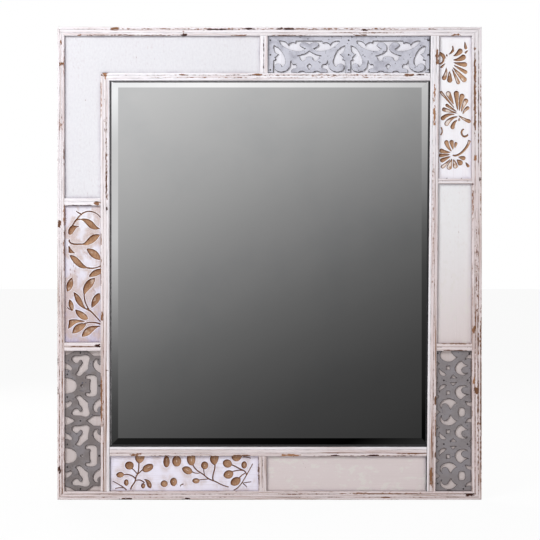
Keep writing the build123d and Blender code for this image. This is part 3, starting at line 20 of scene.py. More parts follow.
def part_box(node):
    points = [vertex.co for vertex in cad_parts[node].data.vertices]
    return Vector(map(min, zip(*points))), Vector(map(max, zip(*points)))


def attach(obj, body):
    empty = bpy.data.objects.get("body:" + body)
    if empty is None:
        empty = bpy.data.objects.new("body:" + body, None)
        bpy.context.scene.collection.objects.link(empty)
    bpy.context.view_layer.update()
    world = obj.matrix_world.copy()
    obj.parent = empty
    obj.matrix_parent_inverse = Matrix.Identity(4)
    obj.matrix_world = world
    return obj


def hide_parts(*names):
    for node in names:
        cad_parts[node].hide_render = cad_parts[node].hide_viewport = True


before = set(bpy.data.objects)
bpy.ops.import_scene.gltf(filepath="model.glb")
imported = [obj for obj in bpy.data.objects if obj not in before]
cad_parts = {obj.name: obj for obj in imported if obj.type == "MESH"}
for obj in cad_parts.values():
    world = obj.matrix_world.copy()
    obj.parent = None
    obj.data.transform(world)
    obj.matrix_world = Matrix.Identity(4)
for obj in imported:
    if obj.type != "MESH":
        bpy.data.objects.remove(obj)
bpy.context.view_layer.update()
LOG = logging.getLogger("mirror")

Point = tuple[float, float]
Edge = tuple[Point, Point]
Face = tuple[int, ...]
Band = tuple[float, float]  # where an easing starts and where it ends
Line = tuple[float, float]  # factor and offset of a straight line
Triple = tuple[float, float, float]
Colour = tuple[float, float, float, float]
Values = np.ndarray
Fields = dict[str, Values]
Material = bpy.types.Material
Socket = bpy.types.NodeSocket

MM = 0.001
MIDDLE_Z = 501.5
SHARP_ANGLE = math.radians(40.0)
SLOPE_TO_DEGREES = 57.3
STEEP = 0.3  # a face is a wall if its normal has less than this share along y
LAY_STEP = 3.7  # metres between the lays of two pieces
FINE_SEED = 50  # from the seed of a piece's broad noise to that of its fine noise
WHITE: Colour = (1.0, 1.0, 1.0, 1.0)


# ================================================================ small helpers


def screen(red: int, green: int, blue: int) -> Colour:
    """Linear colour of an 8-bit screen colour.

    Args:
        red: Red channel, 0 to 255.
        green: Green channel, 0 to 255.
        blue: Blue channel, 0 to 255.

    Returns:
        Linear red, green, blue and an alpha of one.
    """
    channels = np.array((red, green, blue)) / 255.0
    linear = np.where(channels <= 0.04045, channels / 12.92, ((channels + 0.055) / 1.055) ** 2.4)
    return (*(float(value) for value in linear), 1.0)


def grey_of(level: float) -> Colour:
    """Grey of a linear level."""
    return (level, level, level, 1.0)


def smooth_step(values: Values, low: float, high: float) -> Values:
    """Values eased from 0 at low to 1 at high.

    Args:
        values: Numbers to ease.
        low: Value that gives 0.
        high: Value that gives 1.

    Returns:
        The eased numbers.
    """
    share = np.clip((values - low) / (high - low), 0.0, 1.0)
    return share * share * (3.0 - 2.0 * share)


class SmoothNoise:
    """Seeded smooth noise between -1 and 1 over a plane."""

    SIZE = 128

    def __init__(self, seed: int) -> None:
        """Draws the lattice for one seed."""
        self.lattice = np.random.default_rng(seed).uniform(-1.0, 1.0, (self.SIZE, self.SIZE))

    def at(self, u: Values, v: Values) -> Values:
        """Noise at points given in lattice steps.

        Args:
            u: First coordinate.
            v: Second coordinate.

        Returns:
            One value from -1 to 1 for each point.
        """
        u, v = np.broadcast_arrays(np.asarray(u, float), np.asarray(v, float))
        cell_u, cell_v = np.floor(u).astype(int), np.floor(v).astype(int)
        share_u, share_v = smooth_step(u - cell_u, 0.0, 1.0), smooth_step(v - cell_v, 0.0, 1.0)

        def lattice(step_u: int, step_v: int) -> Values:
            """Lattice values at one corner of each point's cell."""
            return self.lattice[(cell_u + step_u) % self.SIZE, (cell_v + step_v) % self.SIZE]

        low = lattice(0, 0) * (1.0 - share_u) + lattice(1, 0) * share_u
        high = lattice(0, 1) * (1.0 - share_u) + lattice(1, 1) * share_u
        return low * (1.0 - share_v) + high * share_v

    def layered(self, u: Values, v: Values) -> Values:
        """Three octaves of the noise, at most about 1 either way."""
        return (self.at(u, v) + self.at(2 * u + 7, 2 * v + 3) / 2 + self.at(4 * u, 4 * v + 9) / 4) / 1.3

    def patches(self, x: Values, z: Values, size: float, line: Line, shift: float = 0.0) -> Values:
        """Patches from 0 to 1.

        Args:
            x: Places across the frame.
            z: Places up the frame.
            size: Size of a patch.
            line: Turns the noise into how strong the patches are.
            shift: Moves the patches across, in patches.

        Returns:
            How strong the patches are at each point.
        """
        return np.clip(line[1] + line[0] * self.at(x / size + shift, z / size), 0.0, 1.0)


@dataclass(frozen=True)
class FrameLines:
    """Lines on which the frame's pieces meet, and levels through its depth."""

    half_width: float = 450.0
    half_height: float = 501.5
    band_left: float = -435.2
    band_right: float = 429.2
    band_bottom: float = -483.9
    band_top: float = 482.8
    stile_left: float = -358.4
    open_left: float = -338.9
    rail_bottom: float = -409.3
    rail_top: float = 403.8
    open_bottom: float = -388.7
    open_top: float = 387.0
    stile_right: float = 356.2
    inner_right_width: float = 19.3
    right_lean: float = 8.6 / 966.7
    front: float = -15.06
    panel: float = -8.06
    rest: float = 2.94
    back: float = 8.94

    def stile_outer(self, z: float) -> float:
        """X of the leaning right stile's outer edge at a height."""
        return self.stile_right + self.right_lean * z

    def stile_inner(self, z: float) -> float:
        """X of the leaning right stile's edge beside the glass at a height."""
        return self.stile_outer(z) - self.inner_right_width


LINES = FrameLines()


class Side(Enum):
    """Side of the frame that a piece lies on."""

    TOP = "top"
    BOTTOM = "bottom"
    LEFT = "left"
    RIGHT = "right"


class Tone(Enum):
    """How dark the bare wood is where the paint has gone."""

    GOLDEN = 0.05
    BROWN = 0.4
    RED_BROWN = 0.65
    DARK = 1.0


GOLDEN, BROWN, RED_BROWN, DARK = Tone
RAGGED = SmoothNoise(7)


@dataclass(frozen=True)
class WornPatch:
    """A place where paint has rubbed or chipped off, as a box seen from the front."""

    LENS_EDGE = 1.05
    LENS_REACH = 1.6
    RAGGEDNESS = 0.55
    SOFTNESS = 0.62
    LONG_STEP = 5.0
    SHORT_STEP = 1.4

    x0: float
    z0: float
    x1: float
    z1: float
    strength: float
    tone: Tone = BROWN
    feather: float = 1.6

    def cover(self, x: Values, z: Values) -> Values:
        """How strongly the patch reaches points.

        Args:
            x: Places across the frame.
            z: Places up the frame.

        Returns:
            The patch's strength inside a ragged lens, fading out over its feather.
        """
        half_x = (self.x1 - self.x0) / 2 + self.feather
        half_z = (self.z1 - self.z0) / 2 + self.feather
        u, v = (x - (self.x0 + self.x1) / 2) / half_x, (z - (self.z0 + self.z1) / 2) / half_z
        level = half_x > half_z
        far = u**4 + v**2 if level else u**2 + v**4
        near = far < self.LENS_REACH
        step_x, step_z = (self.LONG_STEP, self.SHORT_STEP) if level else (self.SHORT_STEP, self.LONG_STEP)
        ragged = self.RAGGEDNESS * RAGGED.layered(x[near] / step_x, z[near] / step_z)
        within = self.LENS_EDGE - np.sqrt(far[near]) + ragged
        cover = np.zeros(x.shape)
        cover[near] = self.strength * smooth_step(within, 0.0, self.SOFTNESS)
        return cover


@dataclass(frozen=True)
class WearMap:
    """Where and how the frame's paint has worn."""

    patches: tuple[WornPatch, ...]

    @classmethod
    def of(cls, *tables: Sequence[tuple]) -> "WearMap":
        """Makes the map from tables whose rows hold the values of a patch in order."""
        return cls(tuple(WornPatch(*row) for table in tables for row in table))

    def read(self, x: Values, z: Values, base: Values) -> tuple[Values, Values]:
        """Wear and tone at points.

        Args:
            x: Places across the frame.
            z: Places up the frame.
            base: Wear that edges and handling give there already.

        Returns:
            Wear from 0 to 1, and the tone of the wood below.
        """
        wear, tone = base.copy(), np.full(x.shape, BROWN.value)
        for patch in self.patches:
            cover = patch.cover(x, z)
            tone = np.where(cover > wear, patch.tone.value, tone)
            wear = np.maximum(wear, cover)
        return wear, tone


@dataclass(frozen=True)
class AgeingAndShade:
    """How far the paint has aged, thinned and darkened, most towards the foot and the right; the darkening is
    partly painted shade.
    """

    middle: float = 0.42
    gain_to_foot: float = 0.75
    gain_to_right: float = 0.28
    loss_to_left: float = 0.12

    def at(self, x: Values, z: Values) -> Values:
        """How far the paint has aged, with its painted shade, from 0 to 1 at points.

        Args:
            x: Places across the frame.
            z: Places up the frame.

        Returns:
            The ageing and painted shade at each point.
        """
        side = np.where(x > 0.0, self.gain_to_right, self.loss_to_left) * x / LINES.half_width
        return smooth_step(self.middle - self.gain_to_foot * z / LINES.half_height + side, 0.0, 1.0)


AGEING_AND_SHADE = AgeingAndShade()


# ================================================================ making meshes


@dataclass
class Shape:
    """Points, faces and fields of one mesh before it becomes a piece."""

    points: Values
    faces: Sequence[Sequence[int]]
    fields: Fields = field(default_factory=dict)


def make_piece(
    name: str,
    shape: Shape,
    finish: Material,
    body: str,
    replaces: Sequence[str] = (),
) -> bpy.types.Object:
    """Turns a shape into a piece of the mirror.

    Args:
        name: Name of the piece.
        shape: Its mesh, in millimetres from the frame's middle.
        finish: Its material.
        body: Body that it rides on.
        replaces: Solids that it stands for.

    Returns:
        The new object.
    """
    mesh = bpy.data.meshes.new(name)
    places = (shape.points + np.array((0.0, 0.0, MIDDLE_Z))) * MM
    mesh.from_pydata(places, [], shape.faces)
    for label, values in shape.fields.items():
        kind, key = ("FLOAT", "value") if values.ndim == 1 else ("FLOAT_VECTOR", "vector")
        layer = mesh.attributes.new(label, kind, "POINT")
        layer.data.foreach_set(key, values.astype(np.float32).ravel())
    mesh.shade_smooth()
    mesh.set_sharp_from_angle(angle=SHARP_ANGLE)
    mesh.materials.append(finish)
    piece = bpy.data.objects.new(name, mesh)
    bpy.context.scene.collection.objects.link(piece)
    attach(piece, body)
    if replaces:
        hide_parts(*replaces)
    LOG.info("%s: %d faces", name, len(mesh.polygons))
    return piece


def lay_of(along: Values, across: Values, seed: int) -> Values:
    """Lay of a piece's points, from which its finish takes grain and stains.

    Args:
        along: Places along the grain.
        across: Places across it.
        seed: The piece's own number, which keeps its stains apart from those of other pieces.

    Returns:
        Three coordinates in metres for each point.
    """
    return np.stack((along * MM, across * MM, np.full(along.shape, LAY_STEP * seed)), axis=-1).reshape(-1, 3)


def node_tree(node: str, keep: Callable[[Vector, list[Vector]], bool] | None = None) -> BVHTree:
    """Search tree over the faces of a solid.

    Args:
        node: Name of the solid.
        keep: Says from a face's normal and corners whether the face is wanted; all are by default.

    Returns:
        The tree, in metres.
    """
    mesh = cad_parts[node].data
    points = [vertex.co for vertex in mesh.vertices]
    faces = []
    for polygon in mesh.polygons:
        corners = [points[index] for index in polygon.vertices]
        if keep is None or keep(polygon.normal, corners):
            faces.append(tuple(polygon.vertices))
    return BVHTree.FromPolygons(points, faces)


# ================================================================ wiring of materials


class Wiring:
    """Adds nodes to one tree and links them up."""

    def __init__(self, tree: bpy.types.NodeTree) -> None:
        """Starts on a tree."""
        self.tree = tree

    def node(self, kind: str, feeds: dict | None = None, **settings: object) -> bpy.types.Node:
        """Adds a node.

        Args:
            kind: Type of the node, without the leading ShaderNode.
            feeds: Values or sockets for its inputs, by name or number.
            **settings: Properties of the node.

        Returns:
            The new node.
        """
        new = self.tree.nodes.new(f"ShaderNode{kind}")
        for name, value in settings.items():
            setattr(new, name, value)
        for key, value in (feeds or {}).items():
            self.feed(new.inputs[key], value)
        return new

    def feed(self, socket: Socket, value: object) -> None:
        """Links a socket into an input, or sets the input to a plain value."""
        if isinstance(value, Socket):
            self.tree.links.new(value, socket)
        else:
            socket.default_value = value

    def maths(self, operation: str, *values: object, clamp: bool = False) -> Socket:
        """Result of a Math node.

        Args:
            operation: Name of the operation.
            *values: Its inputs.
            clamp: Whether the result is kept from 0 to 1.

        Returns:
            The result's socket.
        """
        feeds = dict(enumerate(values))
        return self.node("Math", feeds, operation=operation, use_clamp=clamp).outputs[0]

    def vector(self, operation: str, first: object, second: object) -> Socket:
        """Result of a Vector Math node on two vectors."""
        return self.node("VectorMath", {0: first, 1: second}, operation=operation).outputs[0]

    def mix(self, share: object, first: object, second: object, blend: str = "MIX") -> Socket:
        """Colour mixed from two.

        Args:
            share: How much of the second colour.
            first: First colour.
            second: Second colour.
            blend: Name of the way of mixing.

        Returns:
            The colour's socket.
        """
        feeds = {"Factor": share, 6: first, 7: second}
        return self.node("Mix", feeds, data_type="RGBA", blend_type=blend).outputs[2]

    def eased(self, value: object, low: float, high: float) -> Socket:
        """Value eased from 0 at low to 1 at high."""
        feeds = {"Value": value, "From Min": low, "From Max": high}
        return self.node("MapRange", feeds, interpolation_type="SMOOTHSTEP").outputs[0]

    def noise(self, place: object, scale: Sequence[float], detail: float = 2.0) -> Socket:
        """Noise from 0 to 1, its scale given as waves per metre along each axis.

        Args:
            place: Vector that says where each point is.
            scale: Waves per metre along each axis.
            detail: Number of octaves.

        Returns:
            The noise's socket.
        """
        stretched = self.vector("MULTIPLY", place, tuple(scale))
        feeds = {"Vector": stretched, "Scale": 1.0, "Detail": detail, "Roughness": 0.55}
        return self.node("TexNoise", feeds).outputs[0]

    def field(self, name: str, output: str = "Fac") -> Socket:
        """Socket of a field that the mesh carries."""
        return self.node("Attribute", attribute_name=name).outputs[output]

    def place(self) -> Socket:
        """Socket of the point's own place on its solid."""
        return self.node("TexCoord").outputs["Object"]

    def upright_place(self) -> Socket:
        """Socket of the point's place with its height first, for grain that runs up the solid."""
        parts = self.parts(self.place())
        return self.node("CombineXYZ", {0: parts[2], 1: parts[0], 2: parts[1]}).outputs[0]

    def times(self, first: object, second: object, clamp: bool = False) -> Socket:
        """Product of two values."""
        return self.maths("MULTIPLY", first, second, clamp=clamp)

    def plus(self, first: object, second: object, clamp: bool = False) -> Socket:
        """Sum of two values."""
        return self.maths("ADD", first, second, clamp=clamp)

    def scaled(self, value: object, factor: object, offset: object) -> Socket:
        """Value times a factor, plus an offset."""
        return self.maths("MULTIPLY_ADD", value, factor, offset)

    def varied(self, value: object, noise: object, amount: float, clamp: bool = False) -> Socket:
        """Value varied by a noise, by at most half an amount either way."""
        return self.plus(value, self.scaled(noise, amount, -amount / 2), clamp)

    def sized(self, place: object, scale: object) -> Socket:
        """Vector times a number."""
        return self.node("VectorMath", {0: place, "Scale": scale}, operation="SCALE").outputs[0]

    def parts(self, vector: object) -> bpy.types.bpy_prop_collection:
        """The three coordinates of a vector."""
        return self.node("SeparateXYZ", {0: vector}).outputs


SOCKET_KINDS = {"colour": "NodeSocketColor", "value": "NodeSocketFloat", "vector": "NodeSocketVector"}


class Effect:
    """A shader node group with named inputs and outputs."""

    def __init__(self, name: str, takes: dict[str, str], gives: dict[str, str]) -> None:
        """Makes an empty group.

        Args:
            name: Name of the group.
            takes: Kind of each input, by name.
            gives: Kind of each output, by name.
        """
        self.tree = bpy.data.node_groups.new(name, "ShaderNodeTree")
        for direction, sockets in (("INPUT", takes), ("OUTPUT", gives)):
            for label, kind in sockets.items():
                self.tree.interface.new_socket(label, in_out=direction, socket_type=SOCKET_KINDS[kind])
        self.wiring = Wiring(self.tree)
        self.inputs = self.tree.nodes.new("NodeGroupInput").outputs
        self.outputs = self.tree.nodes.new("NodeGroupOutput").inputs

    def give(self, **results: Socket) -> None:
        """Links results to the outputs of the same names."""
        for label, socket in results.items():
            self.wiring.feed(self.outputs[label], socket)

    def use(self, wiring: Wiring, **feeds: object) -> bpy.types.bpy_prop_collection:
        """Places the group in a material.

        Args:
            wiring: Wiring of the material.
            **feeds: Values or sockets for the inputs of the same names.

        Returns:
            Outputs of the placed group.
        """
        placed = wiring.tree.nodes.new("ShaderNodeGroup")
        placed.node_tree = self.tree
        for label, value in feeds.items():
            wiring.feed(placed.inputs[label], value)
        return placed.outputs


@dataclass(frozen=True)
class Grain:
    """Long wood grain that runs along the first axis of its place."""

    swirl_waves: Triple = (7.0, 24.0, 1.0)
    swirl: float = 0.006
    fine_waves: Triple = (26.0, 950.0, 1.0)
    broad_waves: Triple = (4.5, 210.0, 1.0)

    def effect(self) -> Effect:
        """Builds the group."""
        takes = {"Place": "vector", "Fineness": "value"}
        effect = Effect("long_grain", takes, {"Fine": "value", "Broad": "value"})
        wiring, place = effect.wiring, effect.inputs["Place"]
        drift = wiring.times(wiring.maths("SUBTRACT", wiring.noise(place, self.swirl_waves), 0.5), self.swirl)
        bent = wiring.vector("ADD", place, wiring.node("CombineXYZ", {1: drift}).outputs[0])
        sized = wiring.sized(bent, effect.inputs["Fineness"])
        fine = wiring.noise(sized, self.fine_waves, 3.0)
        effect.give(Fine=fine, Broad=wiring.noise(sized, self.broad_waves))
        return effect


@dataclass(frozen=True)
class WornPaint:
    """Whitewash that has thinned along the grain, let its threads show, chipped down to bare wood, and
    carries soiling and painted shade.
    """

    grain: Effect
    spot_waves: Triple = (150.0, 260.0, 1.0)
    cloud_waves: Triple = (11.0, 40.0, 1.0)
    thread_waves: Triple = (5.0, 560.0, 1.0)
    bare_band: Band = (0.52, 0.6)
    thin_band: Band = (0.3, 0.56)
    scratch_band: Band = (0.54, 0.68)
    streak_band: Band = (0.54, 0.7)
    thread_band: Band = (0.56, 0.66)
    ragged_by_grain: float = 0.7
    ragged_by_spots: float = 1.1
    thin_round_chips: float = 0.55
    cloudiness: float = 0.12
    thread_strength: float = 1.7
    scratches_with_age: Line = (0.5, 0.5)
    threads_with_age: Line = (0.95, 0.3)
    dirt_and_shade_by_spots: Line = (0.9, 0.5)
    wood_contrast: float = 0.9
    roughness: Line = (0.16, 0.5)
    bare_roughness: float = 0.18
    broad_relief: float = 0.5
    fine_relief: float = 0.35
    chip_relief: float = -0.55

    def effect(self) -> Effect:
        """Builds the group."""
        colours = ("Paint", "Thin Paint", "Aged_And_Shaded Paint", "Wood", "Dark Wood", "Dirt Colour")
        takes = {"Place": "vector"} | dict.fromkeys(("Wear", "Tone", "Dirt_And_Shade", "Streaks", "Age"), "value")
        takes |= dict.fromkeys(colours, "colour")
        effect = Effect("worn_paint", takes, {"Color": "colour", "Roughness": "value", "Height": "value"})
        wiring, given = effect.wiring, effect.inputs
        place, tone, age, streaks = (given[label] for label in ("Place", "Tone", "Age", "Streaks"))
        lines = self.grain.use(wiring, Place=place, Fineness=1.0)
        fine, broad = lines["Fine"], lines["Broad"]
        spots = wiring.noise(place, self.spot_waves, 3.0)
        edge = wiring.varied(given["Wear"], fine, self.ragged_by_grain)
        edge = wiring.varied(edge, spots, self.ragged_by_spots)
        bare = wiring.eased(edge, *self.bare_band)
        near = wiring.times(wiring.eased(edge, *self.thin_band), self.thin_round_chips)
        scratch = wiring.eased(fine, *self.scratch_band)
        scratch = wiring.times(scratch, wiring.scaled(age, *self.scratches_with_age))
        streak = wiring.times(wiring.plus(wiring.eased(broad, *self.streak_band), scratch), streaks)
        # Paint turns to its old colour along the field, which also paints shade towards the foot and the
        # right.
        paint = wiring.mix(age, given["Paint"], given["Aged_And_Shaded Paint"])
        paint = wiring.mix(wiring.plus(near, streak, clamp=True), paint, given["Thin Paint"])
        cloud = wiring.noise(place, self.cloud_waves)
        paint = wiring.mix(wiring.times(cloud, self.cloudiness), paint, given["Thin Paint"])
        threads = wiring.eased(wiring.noise(place, self.thread_waves), *self.thread_band)
        threads = wiring.times(threads, wiring.scaled(age, *self.threads_with_age))
        threads = wiring.times(threads, wiring.times(streaks, self.thread_strength), clamp=True)
        paint = wiring.mix(threads, paint, wiring.mix(tone, given["Wood"], given["Dark Wood"]))
        figured = wiring.varied(tone, fine, self.wood_contrast, clamp=True)
        wood = wiring.mix(figured, given["Wood"], given["Dark Wood"])
        colour = wiring.mix(bare, paint, wood)
        # Real soiling and painted shade, as the mesh lays them, broken up by spots.
        dirt_and_shade_share = wiring.times(given["Dirt_And_Shade"], wiring.scaled(spots, *self.dirt_and_shade_by_spots), clamp=True)
        colour = wiring.mix(dirt_and_shade_share, colour, given["Dirt Colour"])
        rough = wiring.scaled(bare, self.bare_roughness, wiring.scaled(spots, *self.roughness))
        brushed = wiring.scaled(broad, self.broad_relief, wiring.times(fine, self.fine_relief))
        height = wiring.scaled(bare, self.chip_relief, brushed)
        effect.give(Color=colour, Roughness=rough, Height=height)
        return effect


@dataclass(frozen=True)
class Mottle:
    """Cloudy blotches and fine specks, for metal, card and rubber."""

    cloud_waves: Triple = (38.0, 38.0, 38.0)
    speck_waves: Triple = (520.0, 520.0, 520.0)

    def effect(self) -> Effect:
        """Builds the group."""
        takes = {"Place": "vector", "Scale": "value"}
        effect = Effect("mottle", takes, {"Clouds": "value", "Specks": "value"})
        wiring = effect.wiring
        sized = wiring.sized(effect.inputs["Place"], effect.inputs["Scale"])
        clouds = wiring.noise(sized, self.cloud_waves, 4.0)
        effect.give(Clouds=clouds, Specks=wiring.noise(sized, self.speck_waves))
        return effect


@dataclass(frozen=True)
class Effects:
    """The effects that the finishes share."""

    grain: Effect
    worn_paint: Effect
    mottle: Effect

    @classmethod
    def build(cls) -> "Effects":
        """Builds each effect once."""
        grain = Grain().effect()
        return cls(grain, WornPaint(grain).effect(), Mottle().effect())


# ================================================================ finishes


class Surface(Wiring):
    """A material in the making, with its surface shader."""

    def __init__(self, name: str) -> None:
        """Starts a material of a name."""
        self.material = bpy.data.materials.new(name)
        self.material.use_nodes = True
        super().__init__(self.material.node_tree)
        self.shader = self.tree.nodes["Principled BSDF"]
        self.colour: object = None

    def set(self, label: str, value: object) -> None:
        """Feeds one of the shader's inputs."""
        self.feed(self.shader.inputs[label], value)

    def look(self, colour: object, roughness: object, metallic: object = 0.0) -> None:
        """Gives the shader its colour, roughness and metallic, and remembers the colour.

        Args:
            colour: Colour or its socket.
            roughness: Number from 0 to 1 or its socket.
            metallic: Number from 0 to 1 or its socket.
        """
        self.colour = colour
        self.set("Base Color", colour)
        self.set("Roughness", roughness)
        self.set("Metallic", metallic)

    def bump(self, height: Socket, depth: float, strength: float = 1.0) -> None:
        """Feeds a height into the shader's normal.

        Args:
            height: Height from 0 to 1.
            depth: Depth of that height, in millimetres.
            strength: How strongly it shows.
        """
        feeds = {"Height": height, "Distance": depth * MM, "Strength": strength}
        self.set("Normal", self.node("Bump", feeds).outputs[0])


@dataclass(frozen=True)
class Whitewash:
    """Old white paint on wood, with the wood showing where the wear field says so, and soiling and painted
    shade where the mesh lays them.
    """

    name: str
    paint: Colour = screen(248, 246, 250)
    thin_paint: Colour = screen(196, 170, 166)
    wood: Colour = screen(170, 124, 90)
    dark_wood: Colour = screen(58, 30, 25)
    # Colour of real soiling in the grooves and of painted shade on the walls beside the glass.
    dirt_and_shade: Colour = screen(30, 29, 32)
    # Colour of old paint, also used as painted shade towards the foot and the right.
    aged_and_shaded_paint: Colour = screen(229, 218, 218)
    streaks: float = 0.45
    relief: float = 0.16
    sheen: float = 0.25
    on_solid: bool = False

    def surface(self, effects: Effects) -> Surface:
        """Lays the paint from the mesh's fields, or on a bare solid from its place."""
        surface = Surface(self.name)
        place = surface.upright_place() if self.on_solid else surface.field("lay", "Vector")
        fields = {label: surface.field(label.lower()) for label in ("Wear", "Tone", "Dirt_And_Shade", "Age")}
        colours = {"Paint": self.paint, "Thin Paint": self.thin_paint, "Aged_And_Shaded Paint": self.aged_and_shaded_paint}
        colours |= {"Wood": self.wood, "Dark Wood": self.dark_wood, "Dirt Colour": self.dirt_and_shade}
        result = effects.worn_paint.use(surface, Place=place, Streaks=self.streaks, **fields, **colours)
        surface.look(result["Color"], result["Roughness"])
        surface.set("Specular IOR Level", self.sheen)
        surface.bump(result["Height"], self.relief)
        return surface

    def material(self, effects: Effects) -> Material:
        """Builds the material."""
        return self.surface(effects).material


@dataclass(frozen=True)
class CreamPaint:
    """Matt cream paint with paler blotches where it has aged."""

    coat: Whitewash
    blotch: Colour = screen(224, 219, 214)
    blotch_waves: Triple = (52.0, 84.0, 1.0)
    blotch_band: Band = (0.54, 0.66)
    strength: float = 0.75

    def material(self, effects: Effects) -> Material:
        """Builds the coat and lays the blotches over it."""
        surface = self.coat.surface(effects)
        clouds = surface.noise(surface.field("lay", "Vector"), self.blotch_waves, 3.0)
        share = surface.times(surface.eased(clouds, *self.blotch_band), surface.field("age"))
        share = surface.times(share, self.strength)
        surface.set("Base Color", surface.mix(share, surface.colour, self.blotch))
        return surface.material


@dataclass(frozen=True)
class CarvedWhitewash:
    """Whitewash with the bare wood of the gouged leaves, darkened by stain and painted shade."""

    coat: Whitewash
    gouge: Colour = screen(204, 164, 130)
    gouge_deep: Colour = screen(100, 52, 22)
    smudge: Colour = screen(200, 178, 170)
    vein: Colour = screen(236, 224, 216)
    fleck_waves: Triple = (420.0, 420.0, 1.0)
    cloud_waves: Triple = (34.0, 34.0, 1.0)
    grain_scale: float = 1.6
    smudge_by_flecks: Line = (1.2, 0.1)
    stain_by_clouds: float = 1.0
    stain_by_grain: float = 0.6
    stain_by_flecks: float = 0.8
    vein_raggedness: float = 0.5
    vein_band: Band = (0.3, 0.7)
    edge_raggedness: float = 0.3
    edge_band: Band = (0.4, 0.6)

    def material(self, effects: Effects) -> Material:
        """Builds the coat and lets the gouged wood, its veins and its smudges through."""
        surface = self.coat.surface(effects)
        place = surface.field("lay", "Vector")
        lines = effects.grain.use(surface, Place=place, Fineness=self.grain_scale)
        flecks = surface.noise(place, self.fleck_waves, 3.0)
        rubbed = surface.times(surface.field("smudge"), surface.scaled(flecks, *self.smudge_by_flecks))
        ground = surface.mix(rubbed, surface.colour, self.smudge)
        clouds = surface.noise(place, self.cloud_waves)
        # The shade field darkens the bare wood: real stain, and painted shade along the gouges' edges and
        # their shadowed side.
        stain = surface.varied(surface.field("shade"), clouds, self.stain_by_clouds)
        stain = surface.varied(stain, lines["Fine"], self.stain_by_grain, clamp=True)
        stain = surface.varied(stain, flecks, self.stain_by_flecks, clamp=True)
        wood = surface.mix(stain, self.gouge, self.gouge_deep)
        streak = surface.varied(surface.field("vein"), flecks, self.vein_raggedness)
        wood = surface.mix(surface.eased(streak, *self.vein_band), wood, self.vein)
        inside = surface.varied(surface.field("carve"), flecks, self.edge_raggedness)
        colour = surface.mix(surface.eased(inside, *self.edge_band), ground, wood)
        surface.set("Base Color", colour)
        return surface.material


@dataclass(frozen=True)
class SheetTin:
    """Dull grey tin, mottled, with dark sheared rims, darker still as painted shadow on the upper left side
    of each opening.
    """

    name: str
    metal: Colour = screen(224, 224, 235)
    stain: Colour = screen(186, 185, 197)
    tarnish: Colour = screen(143, 134, 133)
    speck: Colour = screen(104, 102, 112)
    rim: Colour = screen(58, 48, 50)
    stain_band: Band = (0.42, 0.72)
    speck_waves: Triple = (230.0, 230.0, 1.0)
    speck_band: Band = (0.68, 0.74)
    rim_raggedness: float = 0.5
    rim_band: Band = (0.35, 0.75)
    tarnish_by_stain: Line = (-0.25, 1.0)
    roughness: Line = (0.3, 0.32)
    metallic: Line = (-0.3, 0.4)
    relief: float = 0.5
    relief_strength: float = 0.5

    def material(self, effects: Effects) -> Material:
        """Builds the material from the mesh's lay, age and rim fields."""
        surface = Surface(self.name)
        place = surface.field("lay", "Vector")
        spread = effects.mottle.use(surface, Place=place, Scale=1.0)
        clouds = surface.eased(spread["Clouds"], *self.stain_band)
        colour = surface.mix(clouds, self.metal, self.stain)
        # Tarnish follows the sheet's field, which darkens the two lower sheets partly as painted shade.
        aged = surface.times(surface.field("age"), surface.scaled(clouds, *self.tarnish_by_stain))
        colour = surface.mix(aged, colour, self.tarnish)
        dots = surface.eased(surface.noise(place, self.speck_waves, 1.0), *self.speck_band)
        colour = surface.mix(dots, colour, self.speck)
        rim = surface.varied(surface.field("rim"), spread["Specks"], self.rim_raggedness)
        rim = surface.eased(rim, *self.rim_band)
        rough = surface.scaled(spread["Clouds"], *self.roughness)
        surface.look(surface.mix(rim, colour, self.rim), rough, surface.scaled(rim, *self.metallic))
        surface.bump(spread["Clouds"], self.relief, self.relief_strength)
        return surface.material


@dataclass(frozen=True)
class PlainMetal:
    """A metal with cloudy wear, for nails, screws and hangers."""

    name: str
    metal: Colour
    tarnish: Colour
    roughness: float
    metallic: float = 0.9
    scale: float = 4.0
    tarnish_band: Band = (0.4, 0.7)
    speck_roughness: float = 0.25
    polish: float = 0.12
    relief: float = 0.05

    def material(self, effects: Effects) -> Material:
        """Builds the material from the solid's own place."""
        surface = Surface(self.name)
        spread = effects.mottle.use(surface, Place=surface.place(), Scale=self.scale)
        share = surface.eased(spread["Clouds"], *self.tarnish_band)
        rough = surface.scaled(spread["Specks"], self.speck_roughness, self.roughness - self.polish)
        surface.look(surface.mix(share, self.metal, self.tarnish), rough, self.metallic)
        surface.bump(spread["Specks"], self.relief)
        return surface.material


@dataclass(frozen=True)
class SilveredGlass:
    """The silvered glass, with a faint haze."""

    name: str
    silver: Colour = screen(250, 250, 250)
    haze: Colour = screen(242, 243, 244)
    scale: float = 0.12
    haze_band: Band = (0.45, 0.75)
    roughness: Line = (0.012, 0.008)

    def material(self, effects: Effects) -> Material:
        """Builds the material from the solid's own place."""
        surface = Surface(self.name)
        spread = effects.mottle.use(surface, Place=surface.place(), Scale=self.scale)
        veil = surface.eased(spread["Clouds"], *self.haze_band)
        rough = surface.scaled(veil, *self.roughness)
        surface.look(surface.mix(veil, self.silver, self.haze), rough, 1.0)
        return surface.material


